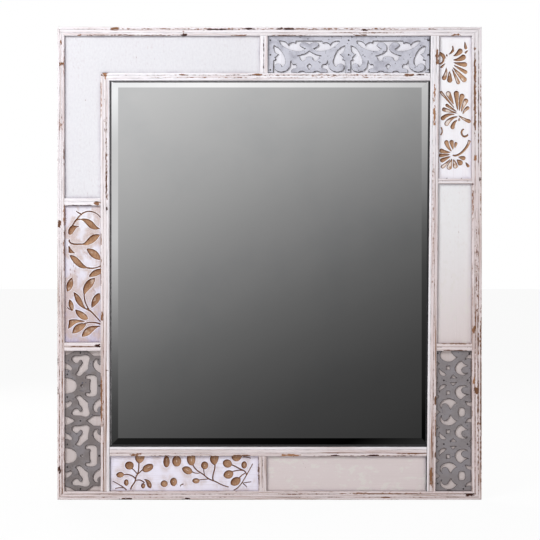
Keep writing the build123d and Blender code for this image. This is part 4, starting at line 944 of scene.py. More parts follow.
@dataclass(frozen=True)
class RawBoard:
    """Unpainted plywood with its grain up the solid, and its plies showing along the edges."""

    name: str
    light: Colour
    dark: Colour
    glue: Colour = screen(112, 78, 50)
    grain_scale: float = 0.5
    cloud_scale: float = 0.5
    broad: float = 0.8
    fine: float = 0.4
    clouds: float = 0.5
    paleness: float = 0.4
    grain_band: Band = (0.15, 0.85)
    figure_waves: Triple = (1.1, 6.5, 1.0)
    rings: float = 16.0
    ring_band: Band = (0.35, 0.95)
    ring_strength: float = 0.55
    ply: float = 1.5
    glue_band: Band = (0.45, 0.8)
    roughness: float = 0.75
    relief: float = 0.12

    def material(self, effects: Effects) -> Material:
        """Builds the material from the solid's own place: figured faces, and plies along the edges."""
        surface = Surface(self.name)
        place = surface.upright_place()
        lines = effects.grain.use(surface, Place=place, Fineness=self.grain_scale)
        spread = effects.mottle.use(surface, Place=place, Scale=self.cloud_scale)
        share = surface.scaled(lines["Broad"], self.broad, surface.times(lines["Fine"], self.fine))
        share = surface.scaled(spread["Clouds"], self.clouds, surface.plus(share, -self.paleness))
        colour = surface.mix(surface.eased(share, *self.grain_band), self.light, self.dark)
        figure = surface.times(surface.noise(place, self.figure_waves, 1.0), self.rings)
        ring = surface.eased(surface.maths("FRACT", figure), *self.ring_band)
        colour = surface.mix(surface.times(ring, self.ring_strength), colour, self.dark)
        through = surface.maths("DIVIDE", surface.parts(surface.place())[1], self.ply * MM)
        layer = surface.eased(surface.maths("PINGPONG", through, 1.0), *self.glue_band)
        facing = surface.parts(surface.node("TexCoord").outputs["Normal"])[1]
        on_edge = surface.maths("LESS_THAN", surface.maths("ABSOLUTE", facing), 0.5)
        colour = surface.mix(surface.times(layer, on_edge), colour, self.glue)
        surface.look(colour, surface.scaled(lines["Fine"], 0.2, self.roughness - 0.1))
        surface.bump(lines["Fine"], self.relief)
        return surface.material


@dataclass(frozen=True)
class Speckled:
    """A soft speckled stuff such as cork, rubber or card."""

    name: str
    light: Colour
    dark: Colour
    scale: float
    roughness: float
    share_band: Band = (0.35, 0.65)
    speck_roughness: float = 0.15
    polish: float = 0.07
    relief: float = 0.1

    def material(self, effects: Effects) -> Material:
        """Builds the material from the solid's own place."""
        surface = Surface(self.name)
        spread = effects.mottle.use(surface, Place=surface.place(), Scale=self.scale)
        share = surface.scaled(spread["Clouds"], 0.5, surface.times(spread["Specks"], 0.5))
        colour = surface.mix(surface.eased(share, *self.share_band), self.light, self.dark)
        rough = surface.scaled(spread["Specks"], self.speck_roughness, self.roughness - self.polish)
        surface.look(colour, rough)
        surface.bump(spread["Specks"], self.relief)
        return surface.material


# ================================================================ wear of the paint

# Each row is a patch: its box (left, foot, right, head), strength, tone of the wood and feather.
TOP_RAIL_WEAR = (
    (-446, 495.5, 446, 498.5, 0.56, BROWN, 1.0),
    (-338, 495, -317, 500, 0.8, BROWN),
    (-144, 494.5, -88, 497, 0.75, DARK, 1.0),
    (-59, 496, -27, 499, 0.92, DARK, 0.9),
    (14, 496, 52, 499, 0.92, DARK, 0.9),
    (194, 493, 209, 496, 0.85, DARK, 1.0),
    (-405, 483, -189, 484.4, 0.6, RED_BROWN, 0.8),
    (-189, 483, -175, 485.5, 0.9, DARK, 1.0),
    (-184, 486, -181.5, 495, 0.58, BROWN, 0.9),
    (-407, 483, -398, 486, 0.75, BROWN, 1.2),
    (-82, 483, -46, 484.5, 0.72, BROWN, 1.0),
    (0, 483, 100, 484, 0.62, RED_BROWN, 0.8),
    (120, 488, 300, 490, 0.5, BROWN, 1.0),
    (179, 483, 209, 484.5, 0.75, RED_BROWN, 1.0),
    (385, 483, 406, 486, 0.88, BROWN, 1.1),
)
LEFT_RAIL_WEAR = (
    (-444, 462, -440.5, 473, 0.78, BROWN, 1.2),
    (-446, 418, -435, 427, 0.66, BROWN, 1.2),
    (-437, 385, -435, 462, 0.6, RED_BROWN, 0.9),
    (-437, 203, -435, 269, 0.6, RED_BROWN, 0.9),
    (-448, 278, -438, 310, 0.42, BROWN, 4.0),
    (-449, 76, -442.5, 92, 0.88, RED_BROWN, 1.3),
    (-437, 78, -432.5, 125, 0.8, GOLDEN, 1.1),
    (-436.6, -44, -434.8, 78, 0.62, BROWN, 0.8),
    (-449, -221, -447, -192, 0.7, DARK, 0.8),
    (-449, -280, -447, -256, 0.7, DARK, 0.8),
    (-448, -445, -441, -431, 0.88, DARK, 1.3),
)
RIGHT_RAIL_WEAR = (
    (433.5, 262, 437.5, 464, 0.96, BROWN, 1.1),
    (442.6, 190, 443.8, 470, 0.64, RED_BROWN, 0.8),
    (447, 60, 448.6, 470, 0.6, BROWN, 0.8),
    (434, 218, 438, 230, 0.8, GOLDEN, 1.1),
    (444, 175, 448, 184, 0.88, DARK, 1.1),
    (429.5, 166, 431.5, 170, 0.9, DARK, 1.0),
    (430, 90, 432.5, 165, 0.66, BROWN, 0.9),
    (438, -120, 440.5, 120, 0.52, RED_BROWN, 1.0),
    (430, -149, 437, -131, 0.78, BROWN, 1.3),
    (431, -259, 436, -240, 0.78, GOLDEN, 1.3),
    (434, -277, 442, -262, 0.9, RED_BROWN, 1.2),
    (441, -480, 442.5, -20, 0.64, RED_BROWN, 0.9),
    (446.5, -495, 449.5, -60, 0.74, RED_BROWN, 1.0),
)
BOTTOM_RAIL_WEAR = (
    (-321, -501, -287, -498, 0.9, DARK, 1.1),
    (-186, -501, -168, -498, 0.9, DARK, 1.1),
    (132, -489, 334, -487.5, 0.9, BROWN, 0.9),
    (-3, -489.5, 130, -488.5, 0.6, BROWN, 0.8),
    (236, -498, 254, -495.5, 0.75, BROWN, 1.0),
    (412, -493.5, 436, -488.5, 1.0, DARK, 1.4),
)
INNER_RAIL_WEAR = (
    (-357, 400.5, -341, 403.3, 0.8, GOLDEN, 0.9),
    (-353, 396, -345.5, 400.5, 0.8, GOLDEN, 0.9),
    (-350.2, 390, -348, 396, 0.75, GOLDEN, 0.8),
    (-357, 403.4, -341, 404, 0.95, DARK, 0.5),
    (-357, 398.5, -355, 400.5, 0.9, DARK, 0.6),
    (-338, 398, 338, 400, 0.48, RED_BROWN, 0.8),
    (-193, 398, -177, 401, 0.85, BROWN, 1.2),
    (-37, 398, -16, 402, 0.8, BROWN, 1.2),
    (-300, 393.4, 330, 394.4, 0.5, BROWN, 0.8),
    (40, 396, 283, 401, 0.44, GOLDEN, 1.5),
    (283, 397, 306, 402.5, 0.82, BROWN, 1.2),
    (308, 399, 336, 401, 0.72, DARK, 0.8),
    (-299, -409, -272, -404, 0.72, BROWN, 1.5),
    (-79, -409, -40, -406.5, 0.88, RED_BROWN, 1.2),
    (17, -409, 70, -405, 0.95, GOLDEN, 1.3),
    (-262, -409.2, -80, -408, 0.6, RED_BROWN, 0.8),
    (70, -409.2, 334, -408, 0.68, RED_BROWN, 0.8),
    (129, -409, 150, -406, 0.88, DARK, 1.1),
    (208, -409, 232, -406, 0.88, DARK, 1.1),
    (260, -405, 334, -403, 0.68, BROWN, 0.9),
)
STILE_WEAR = (
    (-358.4, 295, -356.8, 394, 0.64, GOLDEN, 0.8),
    (-350.4, 300, -349.8, 375, 0.6, DARK, 0.6),
    (-350, 272, -343.5, 318, 0.48, RED_BROWN, 1.5),
    (-348, 114, -342.5, 278, 0.55, RED_BROWN, 1.4),
    (-347, 112, -343, 120, 0.8, DARK, 0.9),
    (-357.6, -122, -353, -102, 0.95, BROWN, 1.0),
    (-358.4, 40, -356.6, 64, 0.9, BROWN, 0.9),
    (-358.4, -64, -356.8, 38, 0.6, BROWN, 0.8),
    (-357.6, -359, -354.6, -235, 0.92, BROWN, 0.9),
    (-348, -229, -342, -226.5, 0.8, DARK, 0.8),
    (352, 420, 359, 454, 0.74, BROWN, 1.6),
    (347, 337, 352, 385, 0.58, GOLDEN, 1.2),
    (347, 290, 352.5, 337, 0.84, GOLDEN, 1.3),
    (345, -100, 349, 280, 0.42, BROWN, 1.0),
    (350, -302, 353, -281, 0.95, RED_BROWN, 1.1),
    (350.5, -374, 353, -310, 0.7, BROWN, 0.9),
    (350, -414, 353, -399, 0.85, RED_BROWN, 1.0),
    (340, -476, 345, -429, 0.78, BROWN, 1.4),
)
DIVIDER_WEAR = (
    (-372, 123, -359, 131, 0.72, BROWN, 1.4),
    (-430, 122.4, -372, 123.6, 0.62, DARK, 0.6),
    (-370, -179, -359, -172, 0.78, DARK, 1.2),
    (-432, -177.5, -372, -176, 0.64, BROWN, 0.7),
    (-13, 405, -11.6, 482, 0.62, DARK, 0.6),
    (-25, -480, -21, -412, 0.6, RED_BROWN, 1.1),
    (358, -171.4, 428, -170, 0.84, BROWN, 0.8),
    (358, -186, 428, -184.6, 0.84, RED_BROWN, 0.8),
    (376, 180, 378, 181.4, 0.9, DARK, 0.7),
    (407, 180, 409, 181.4, 0.9, DARK, 0.7),
)
PANEL_WEAR = (
    (-262, 455, -249, 464, 0.4, GOLDEN, 3.5),
    (-159.6, 429.6, -158.6, 430.4, 0.9, BROWN, 0.6),
    (-392.6, 346.6, -391.6, 347.4, 0.8, BROWN, 0.5),
    (-392, 14, -384, 24, 0.46, GOLDEN, 6.0),
    (-384, 60, -376, 68, 0.46, GOLDEN, 6.0),
    (-378, -66, -372, -54, 0.5, GOLDEN, 6.0),
    (-424, -52, -412, 2, 0.42, GOLDEN, 5.0),
)
RAIL_WEAR = TOP_RAIL_WEAR + LEFT_RAIL_WEAR + RIGHT_RAIL_WEAR + BOTTOM_RAIL_WEAR
WEAR = WearMap.of(RAIL_WEAR, INNER_RAIL_WEAR, STILE_WEAR, DIVIDER_WEAR, PANEL_WEAR)


# ================================================================ rails and dividers


@dataclass(frozen=True)
class Bar:
    """One grooved bar between its outer and its inner long edge."""

    node: str
    outer: Edge
    inner: Edge
    grooves: tuple[float, ...]
    rebate: float = 0.0

    def width(self) -> float:
        """Width of the bar across its run."""
        start, end = np.array(self.outer[0]), np.array(self.outer[1])
        run = (end - start) / np.linalg.norm(end - start)
        across = np.array(self.inner[0]) - start
        return float(abs(run[0] * across[1] - run[1] * across[0]))


@dataclass(frozen=True)
class Divider:
    """A short bar between two neighbouring panels on one side of the frame."""

    node: str
    side: Side
    middle: float
    width: float

    def edge(self, place: float) -> Edge:
        """Ends of a long edge at a place along the side."""
        if self.side is Side.TOP:
            return (place, LINES.rail_top), (place, LINES.band_top)
        if self.side is Side.BOTTOM:
            return (place, LINES.band_bottom), (place, LINES.rail_bottom)
        if self.side is Side.LEFT:
            return (LINES.band_left, place), (LINES.stile_left, place)
        return (LINES.stile_outer(place), place), (LINES.band_right, place)

    def bar(self, grooves: tuple[float, ...]) -> Bar:
        """The divider as a bar with grooves at shares of its width."""
        low, high = self.middle - self.width / 2, self.middle + self.width / 2
        return Bar(self.node, self.edge(low), self.edge(high), grooves)


@dataclass(frozen=True)
class Moulding:
    """Section of a bar, and how it is cut into a fine mesh."""

    edge_radius: float = 1.6
    sight_slope: float = 3.4
    groove_half: float = 1.15
    groove_depth: float = 1.1
    groove_cuts: tuple[float, ...] = (-1.0, -0.86, -0.66, -0.42, 0.0, 0.42, 0.66, 0.86, 1.0)
    lip: float = 9.0
    lip_cuts: tuple[float, ...] = (4.6, 6.8)
    flat_cell: float = 1.4
    wall_cuts: int = 5
    step: float = 2.0
    joint: float = 0.12

    def front(self, width: float, slope: float, grooves: tuple[float, ...]) -> list[Point]:
        """Points of the flat, grooved front between its two rounded edges.

        Args:
            width: Width of the bar.
            slope: Width of the rounding on the inner edge.
            grooves: Places of the grooves, as shares of the width.

        Returns:
            The points, from the outer edge inward.
        """
        points: list[Point] = []
        last = self.edge_radius
        for share in (*grooves, None):
            middle = width * share if share is not None else width - slope + self.groove_half
            start = middle - self.groove_half
            count = max(1, round((start - last) / self.flat_cell))
            points += [(last + (start - last) * i / count, LINES.front) for i in range(1, count)]
            if share is None:
                break
            for cut in self.groove_cuts:
                dip = self.groove_depth * (1 - abs(cut) ** 2.2) ** 0.8
                points.append((middle + cut * self.groove_half, LINES.front + dip))
            last = middle + self.groove_half
        return points

    def section(self, bar: Bar) -> Values:
        """Points round the bar's section.

        Args:
            bar: The bar.

        Returns:
            For each point its distance from the outer edge and its depth.
        """
        width, radius = bar.width(), self.edge_radius
        slope = self.sight_slope if bar.rebate else radius
        quarter = [math.radians(angle) for angle in (0, 22, 45, 68, 90)]
        insets = [(1 - math.cos(angle), 1 - math.sin(angle)) for angle in quarter]
        rise = [(radius * inset, LINES.front + radius * drop) for inset, drop in insets]
        fall = [(width - slope * inset, LINES.front + slope * drop) for inset, drop in insets[::-1]]
        wall = np.linspace(LINES.rest, LINES.front + radius, self.wall_cuts + 1)
        left = [(0.0, depth) for depth in wall[:-1]]
        if bar.rebate:
            step_in, lip = width - bar.rebate, LINES.front + self.lip
            right = [(width, LINES.front + cut) for cut in self.lip_cuts]
            right += [(width, lip), (step_in, lip), (step_in, LINES.rest)]
        else:
            wall = np.linspace(LINES.front + radius, LINES.rest, self.wall_cuts + 1)
            right = [(width, depth) for depth in wall[1:]]
        return np.array(left + rise + self.front(width, slope, bar.grooves) + fall + right)


@dataclass(frozen=True)
class Weathering:
    """How strongly the bars are knocked, worn and grimed, and where they carry painted shade and a painted
    highlight.
    """

    front_depth: float = 1.7
    corner_flat: float = 0.5
    corner_fade: float = 0.9
    rub_size: Point = (19.0, 9.0)
    nick_size: Point = (5.0, 3.0)
    nick_floor: float = 0.15
    unevenness: float = 0.07
    nick_cut: float = 0.3
    rub_cut: float = 0.16
    corner_wear: float = 0.2
    rub_wear: float = 0.16
    flat_rub: float = 0.4
    groove_wear: float = 0.1
    aged_groove_wear: float = 0.24
    groove_age: float = 0.3
    age_wear: float = 0.12
    # Painted highlight: a band along the sight edge of each rail round the glass keeps young, unworn paint,
    # so it shows whiter.
    sight_highlight_band: Band = (7.4, 5.2)
    sight_highlight_youth: float = 0.88
    side_band: Band = (2.0, 8.0)
    side_cleanness: float = 0.85
    chip_band: Band = (0.5, 0.8)
    chip_depth: float = 0.25
    nick_depth: float = 0.3
    groove_grime: float = 0.3
    grime_by_rub: Line = (0.9, 0.5)
    least_grime: float = 0.1
    # Darkens the sides of every bar.
    side_darkening: float = 0.15
    # Painted shade on the walls beside the glass, strongest on the right stile and the bottom rail; the glass
    # shows these walls as dark lines.
    sight_width: float = 0.3
    sight_depth: float = 2.0
    sight_shade: dict[str, float] = field(
        default_factory=lambda: {
            "inner_rail_top": 0.66,
            "inner_stile_left": 0.76,
            "inner_stile_right": 1.9,
            "inner_rail_bottom": 1.9,
        }
    )
    # Range of each bar's ageing; the darker, pinker paint it gives is partly painted shade, so the bottom
    # rail is set oldest and the top rail round the glass youngest.
    usual_age_and_shade: Band = (0.1, 1.0)
    ages: dict[str, Band] = field(
        default_factory=lambda: {
            "outer_rail_top": (0.25, 1.0),
            "outer_rail_left": (0.3, 2.0),
            "outer_rail_right": (0.2, 1.9),
            "outer_rail_bottom": (1.0, 1.15),
            "inner_stile_left": (0.45, 1.3),
            "inner_stile_right": (0.0, 1.6),
            "inner_rail_top": (0.0, 0.8),
            "inner_rail_bottom": (0.5, 0.85),
        }
    )

    def age(self, node: str, x: Values, z: Values) -> Values:
        """How far a bar's paint has aged, with its painted shade, between its own least and most.

        Args:
            node: Name of the bar.
            x: Places across the frame.
            z: Places up the frame.

        Returns:
            The ageing and painted shade at each point.
        """
        least, most = self.ages.get(node, self.usual_age_and_shade)
        return least + (most - least) * AGEING_AND_SHADE.at(x, z)


@dataclass(frozen=True)
class Knocks:
    """Rubs and nicks of one bar. What depends on the section alone has one value for each of its points."""

    is_front: Values
    corner: Values
    groove: Values
    rub: Values
    nick: Values


@dataclass
class Rails:
    """The outer rails, the rails round the glass and the dividers between the panels."""

    moulding: Moulding = Moulding()
    weathering: Weathering = Weathering()
    rail_grooves: tuple[float, ...] = (0.32, 0.68)
    divider_grooves: tuple[float, ...] = (0.5,)
    rebates: tuple[float, float, float, float] = (4.5, 8.4, 12.0, 4.5)  # left, top, right, bottom
    dividers: tuple[Divider, ...] = (
        Divider("divider_top", Side.TOP, -12.0, 16.6),
        Divider("divider_bottom", Side.BOTTOM, -14.6, 16.7),
        Divider("divider_left_high", Side.LEFT, 130.3, 15.9),
        Divider("divider_left_low", Side.LEFT, -176.9, 17.8),
        Divider("divider_right_high", Side.RIGHT, 174.6, 11.0),
        Divider("divider_right_low", Side.RIGHT, -177.8, 15.5),
    )

    def outer_bars(self) -> list[Bar]:
        """The four mitred bars round the outside."""
        w, h = LINES.half_width, LINES.half_height
        a, b, c, d = (-w, -h), (w, -h), (w, h), (-w, h)
        e, f = (LINES.band_left, LINES.band_bottom), (LINES.band_right, LINES.band_bottom)
        g, i = (LINES.band_right, LINES.band_top), (LINES.band_left, LINES.band_top)
        return [
            Bar("outer_rail_left", (a, d), (e, i), self.rail_grooves),
            Bar("outer_rail_right", (b, c), (f, g), self.rail_grooves),
            Bar("outer_rail_top", (d, c), (i, g), self.rail_grooves),
            Bar("outer_rail_bottom", (a, b), (e, f), self.rail_grooves),
        ]

    def inner_bars(self) -> list[Bar]:
        """The two stiles and two rails round the glass."""
        left, top, right, bottom = self.rebates
        grooves, inner, outer = self.rail_grooves, LINES.stile_inner, LINES.stile_outer
        low, high = LINES.band_bottom, LINES.band_top
        foot, head = (LINES.stile_left, low), (LINES.stile_left, LINES.rail_top)
        foot_in, head_in = (LINES.open_left, low), (LINES.open_left, LINES.open_top)
        top_ends = (head, (inner(LINES.rail_top), LINES.rail_top))
        top_ends_in = (head_in, (inner(LINES.open_top), LINES.open_top))
        bottom_ends, bottom_ends_in = (
            ((LINES.open_left, z), (inner(z), z)) for z in (LINES.rail_bottom, LINES.open_bottom)
        )
        right_out, right_in = (((edge(low), low), (edge(high), high)) for edge in (outer, inner))
        return [
            Bar("inner_stile_left", (foot, head), (foot_in, head_in), grooves, left),
            Bar("inner_stile_right", right_out, right_in, grooves, right),
            Bar("inner_rail_top", top_ends, top_ends_in, grooves, top),
            Bar("inner_rail_bottom", bottom_ends, bottom_ends_in, grooves, bottom),
        ]

    def knocks(self, section: Values, width: float, along: Values, reach: Values, seed: int) -> Knocks:
        """Knocks a bar about.

        Args:
            section: Points round its section.
            width: Its width.
            along: Distance of each section from the bar's end, as a column.
            reach: Distance of each point round the section.
            seed: Seed of its knocks.

        Returns:
            The knocks.
        """
        marks = self.weathering
        is_front = section[:, 1] < LINES.front + marks.front_depth
        to_edge = np.minimum(section[:, 0], width - section[:, 0])
        corner = np.exp(-((np.maximum(to_edge - marks.corner_flat, 0.0) / marks.corner_fade) ** 2)) * is_front
        groove = np.clip((section[:, 1] - LINES.front) / self.moulding.groove_depth, 0.0, 1.0)
        groove = groove * is_front * (to_edge > self.moulding.edge_radius)
        rub = SmoothNoise(seed).layered(along / marks.rub_size[0], reach / marks.rub_size[1])
        nick = SmoothNoise(seed + FINE_SEED).layered(along / marks.nick_size[0], reach / marks.nick_size[1])
        nick = np.clip(nick - marks.nick_floor, 0.0, 1.0)
        return Knocks(is_front, corner, groove, np.clip(rub, -1.0, 1.0), nick)

    def paint(self, bar: Bar, section: Values, knocks: Knocks, x: Values, z: Values) -> Fields:
        """Wears, grimes and weathers a bar's paint, with painted shade on its walls and a painted highlight
        on its sight edge.

        Args:
            bar: The bar.
            section: Points round its section.
            knocks: Its rubs and nicks.
            x: Places of its points across the frame.
            z: Places of its points up the frame.

        Returns:
            The wear, the tone, the soiling with painted shade, and the ageing with painted shade of each
            point.
        """
        marks, width = self.weathering, bar.width()
        corner, groove, rub = knocks.corner, knocks.groove, knocks.rub
        base = marks.corner_wear * corner + marks.rub_wear * rub * (marks.flat_rub + corner)
        base = base + marks.groove_wear * groove
        # Painted highlight: young, unworn paint along the sight edge, so it shows whiter.
        sight_highlight = np.zeros(len(section))
        if bar.rebate:
            sight_highlight = smooth_step(section[:, 0], *(width - inset for inset in marks.sight_highlight_band))
        age = marks.age(bar.node, x, z) * (1.0 - marks.sight_highlight_youth * sight_highlight)
        groove_age = np.clip(age - marks.groove_age, 0.0, 1.0)
        base = (base + marks.aged_groove_wear * groove * groove_age) * (1.0 - sight_highlight)
        wear, tone = WEAR.read(x, z, np.clip(base + marks.age_wear * age, 0.0, 1.0))
        wear *= 1.0 - marks.side_cleanness * smooth_step(section[:, 1] - LINES.front, *marks.side_band)
        # Soiling in the grooves, broken up by rubs, and darker sides on every bar.
        broken = np.clip(marks.grime_by_rub[1] + marks.grime_by_rub[0] * rub, marks.least_grime, 1.0)
        dirt_and_shade = marks.groove_grime * groove * broken + marks.side_darkening * ~knocks.is_front
        # Painted shade on the walls beside the glass.
        sight = section[:, 1] > LINES.front + marks.sight_depth
        sight &= section[:, 0] > width - marks.sight_width
        dirt_and_shade = np.where(sight, marks.sight_shade.get(bar.node, marks.side_darkening), dirt_and_shade)
        return {"wear": wear, "tone": tone, "dirt_and_shade": dirt_and_shade, "age": age}

    def shape(self, bar: Bar, seed: int) -> Shape:
        """Sweeps the section along a bar, knocks it about and paints it.

        Args:
            bar: The bar.
            seed: Seed of its wear.

        Returns:
            The bar's mesh with its lay, wear and tone fields, and its soiling and ageing fields, which carry
            painted shade.
        """
        section, width, marks = self.moulding.section(bar), bar.width(), self.weathering
        outer_start, outer_end = (np.array(point) for point in bar.outer)
        inner_start, inner_end = (np.array(point) for point in bar.inner)
        length = float(np.linalg.norm(outer_end - outer_start))
        run = (outer_end - outer_start) / length
        count = max(8, math.ceil(length / self.moulding.step))
        gap = self.moulding.joint / length
        share = np.linspace(gap, 1.0 - gap, count + 1)[:, None]
        reach = np.concatenate(([0.0], np.cumsum(np.linalg.norm(np.diff(section, axis=0), axis=1))))
        knocks = self.knocks(section, width, share * length, reach, seed)
        turns = np.roll(section, -1, axis=0) - np.roll(section, 1, axis=0)
        outward = np.stack((turns[:, 1], -turns[:, 0]), axis=1)
        outward /= np.linalg.norm(outward, axis=1)[:, None]
        knock = marks.nick_cut * knocks.nick + marks.rub_cut * np.clip(knocks.rub, 0.0, 1.0)
        inward = marks.unevenness * (1.0 + knocks.rub) * knocks.is_front + knocks.corner * knock
        offset = section[:, 0] - outward[:, 0] * inward
        depth = section[:, 1] - outward[:, 1] * inward
        start = outer_start + (outer_end - outer_start) * share
        end = inner_start + (inner_end - inner_start) * share
        part = (offset / width)[:, :, None]
        flat = start[:, None, :] * (1.0 - part) + end[:, None, :] * part
        x, z = flat[:, :, 0], flat[:, :, 1]
        paint = self.paint(bar, section, knocks, x, z)
        chipped = smooth_step(paint["wear"], *marks.chip_band) * knocks.is_front
        depth = depth + chipped * (marks.chip_depth + marks.nick_depth * knocks.nick)
        points = np.stack((x, depth, z), axis=2).reshape(-1, 3)
        faces = self.skin(count + 1, len(section), (outer_end - outer_start, inner_start - outer_start))
        lay = lay_of(flat @ run - outer_start @ run, np.broadcast_to(reach, x.shape), seed)
        return Shape(points, faces, {"lay": lay} | {label: values.ravel() for label, values in paint.items()})

    def skin(self, rows: int, size: int, sense: tuple[Values, Values]) -> list[Face]:
        """Faces of a swept section, with both ends closed.

        Args:
            rows: Number of sections along the bar.
            size: Number of points round each.
            sense: The bar's run and the way across it, which say how the faces are wound.

        Returns:
            The faces, facing outward.
        """
        run, across = sense
        turned = run[0] * across[1] - run[1] * across[0] < 0
        index = np.arange(rows * size).reshape(rows, size)
        here, after = index[:-1], index[1:]
        quads = np.stack((here, np.roll(here, -1, 1), np.roll(after, -1, 1), after), axis=2).reshape(-1, 4)
        ends = [tuple(index[0][::-1]), tuple(index[-1])]
        faces = [tuple(quad) for quad in quads] + ends
        return faces if turned else [face[::-1] for face in faces]

    def build(self, finish: Material) -> None:
        """Builds and dresses every bar."""
        dividers = [divider.bar(self.divider_grooves) for divider in self.dividers]
        for seed, bar in enumerate(self.outer_bars() + self.inner_bars() + dividers, start=1):
            make_piece(f"{bar.node}_wood", self.shape(bar, seed), finish, "frame", [bar.node])


# ================================================================ painted and carved panels


@dataclass(frozen=True)
class Grid:
    """A fine grid laid over a panel's outline."""

    x: Values
    z: Values
    keep: Values

    def faces(self) -> list[Face]:
        """Quads between the grid's points, facing the front."""
        rows, columns = self.x.shape
        index = np.arange(rows * columns).reshape(rows, columns)
        quads = np.stack((index[:-1, :-1], index[:-1, 1:], index[1:, 1:], index[1:, :-1]), axis=2)
        return [tuple(quad) for quad in quads[self.keep]]


def closed_slab(front: Values, faces: list[Face], back: float) -> tuple[Values, list[Face]]:
    """Closes a front skin with sides and a flat back.

    Args:
        front: Points of the front skin.
        faces: Its faces.
        back: Depth of the back.

    Returns:
        All points, and all faces.
    """
    edges = set()
    for face in faces:
        edges.update(zip(face, face[1:] + face[:1]))
    following = {a: b for a, b in edges if (b, a) not in edges}
    first = next(iter(sorted(following)))
    loop = [first]
    while following[loop[-1]] != first:
        loop.append(following[loop[-1]])
    behind = front[loop].copy()
    behind[:, 1] = back
    base = len(front)
    count = len(loop)
    sides = []
    for i in range(count):
        j = (i + 1) % count
        sides.append((loop[j], loop[i], base + i, base + j))
    return np.concatenate((front, behind)), faces + sides + [tuple(range(base, base + count))[::-1]]


@dataclass(frozen=True)
class Carving:
    """How one carved panel was cut."""

    node: str
    upright: bool
    widen: float
    vein: float
    haze: float
    smudge: float
    stain: float
    # Painted shade laid over the panel, and how much more of it lies towards the foot.
    painted_shade: float = 0.0
    painted_shade_to_foot: float = 0.0
    ridged: bool = False


@dataclass(frozen=True)
class PlainBoard:
    """How one plain panel was painted."""

    node: str
    upright: bool
    # Painted shade laid over the board, most where its paint is least aged.
    painted_shade: float


@dataclass(frozen=True)
class Gouge:
    """Section, stain and painted shade of a gouge, by distance inside its edge."""

    depth: float = 1.9
    bowl: float = 2.4
    chatter: float = 0.12
    rim_height: float = 0.45
    rim_width: float = 1.4
    ridge: float = 0.9
    crest_band: Band = (0.5, 0.85)
    vein_band: Band = (1.4, 2.2)
    vein_drop: float = 0.7
    vein_height: float = 0.7
    # Painted shade: a band on the side of the gouge nearest the upper left, which the light leaves in shadow,
    # and a dark outline along its edge.
    shadow_side_width: float = 2.6
    edge_width: float = 1.8
    smudge_width: float = 10.0
    shade: float = 0.36
    shadow_side_shade: float = 0.55
    edge_shade: float = 0.6
    most_shade: float = 1.4
    chatter_size: float = 1.3
    shadow_side_slope: float = 0.7
    rub_size: Point = (16.0, 22.0)
    rub_by_noise: Line = (1.1, 0.35)
    vein_patch: float = 6.0
    vein_by_noise: Line = (0.6, 0.75)
    haze_patch: float = 13.0
    haze_by_noise: Line = (1.3, 0.45)
    haze_shift: float = 5.0


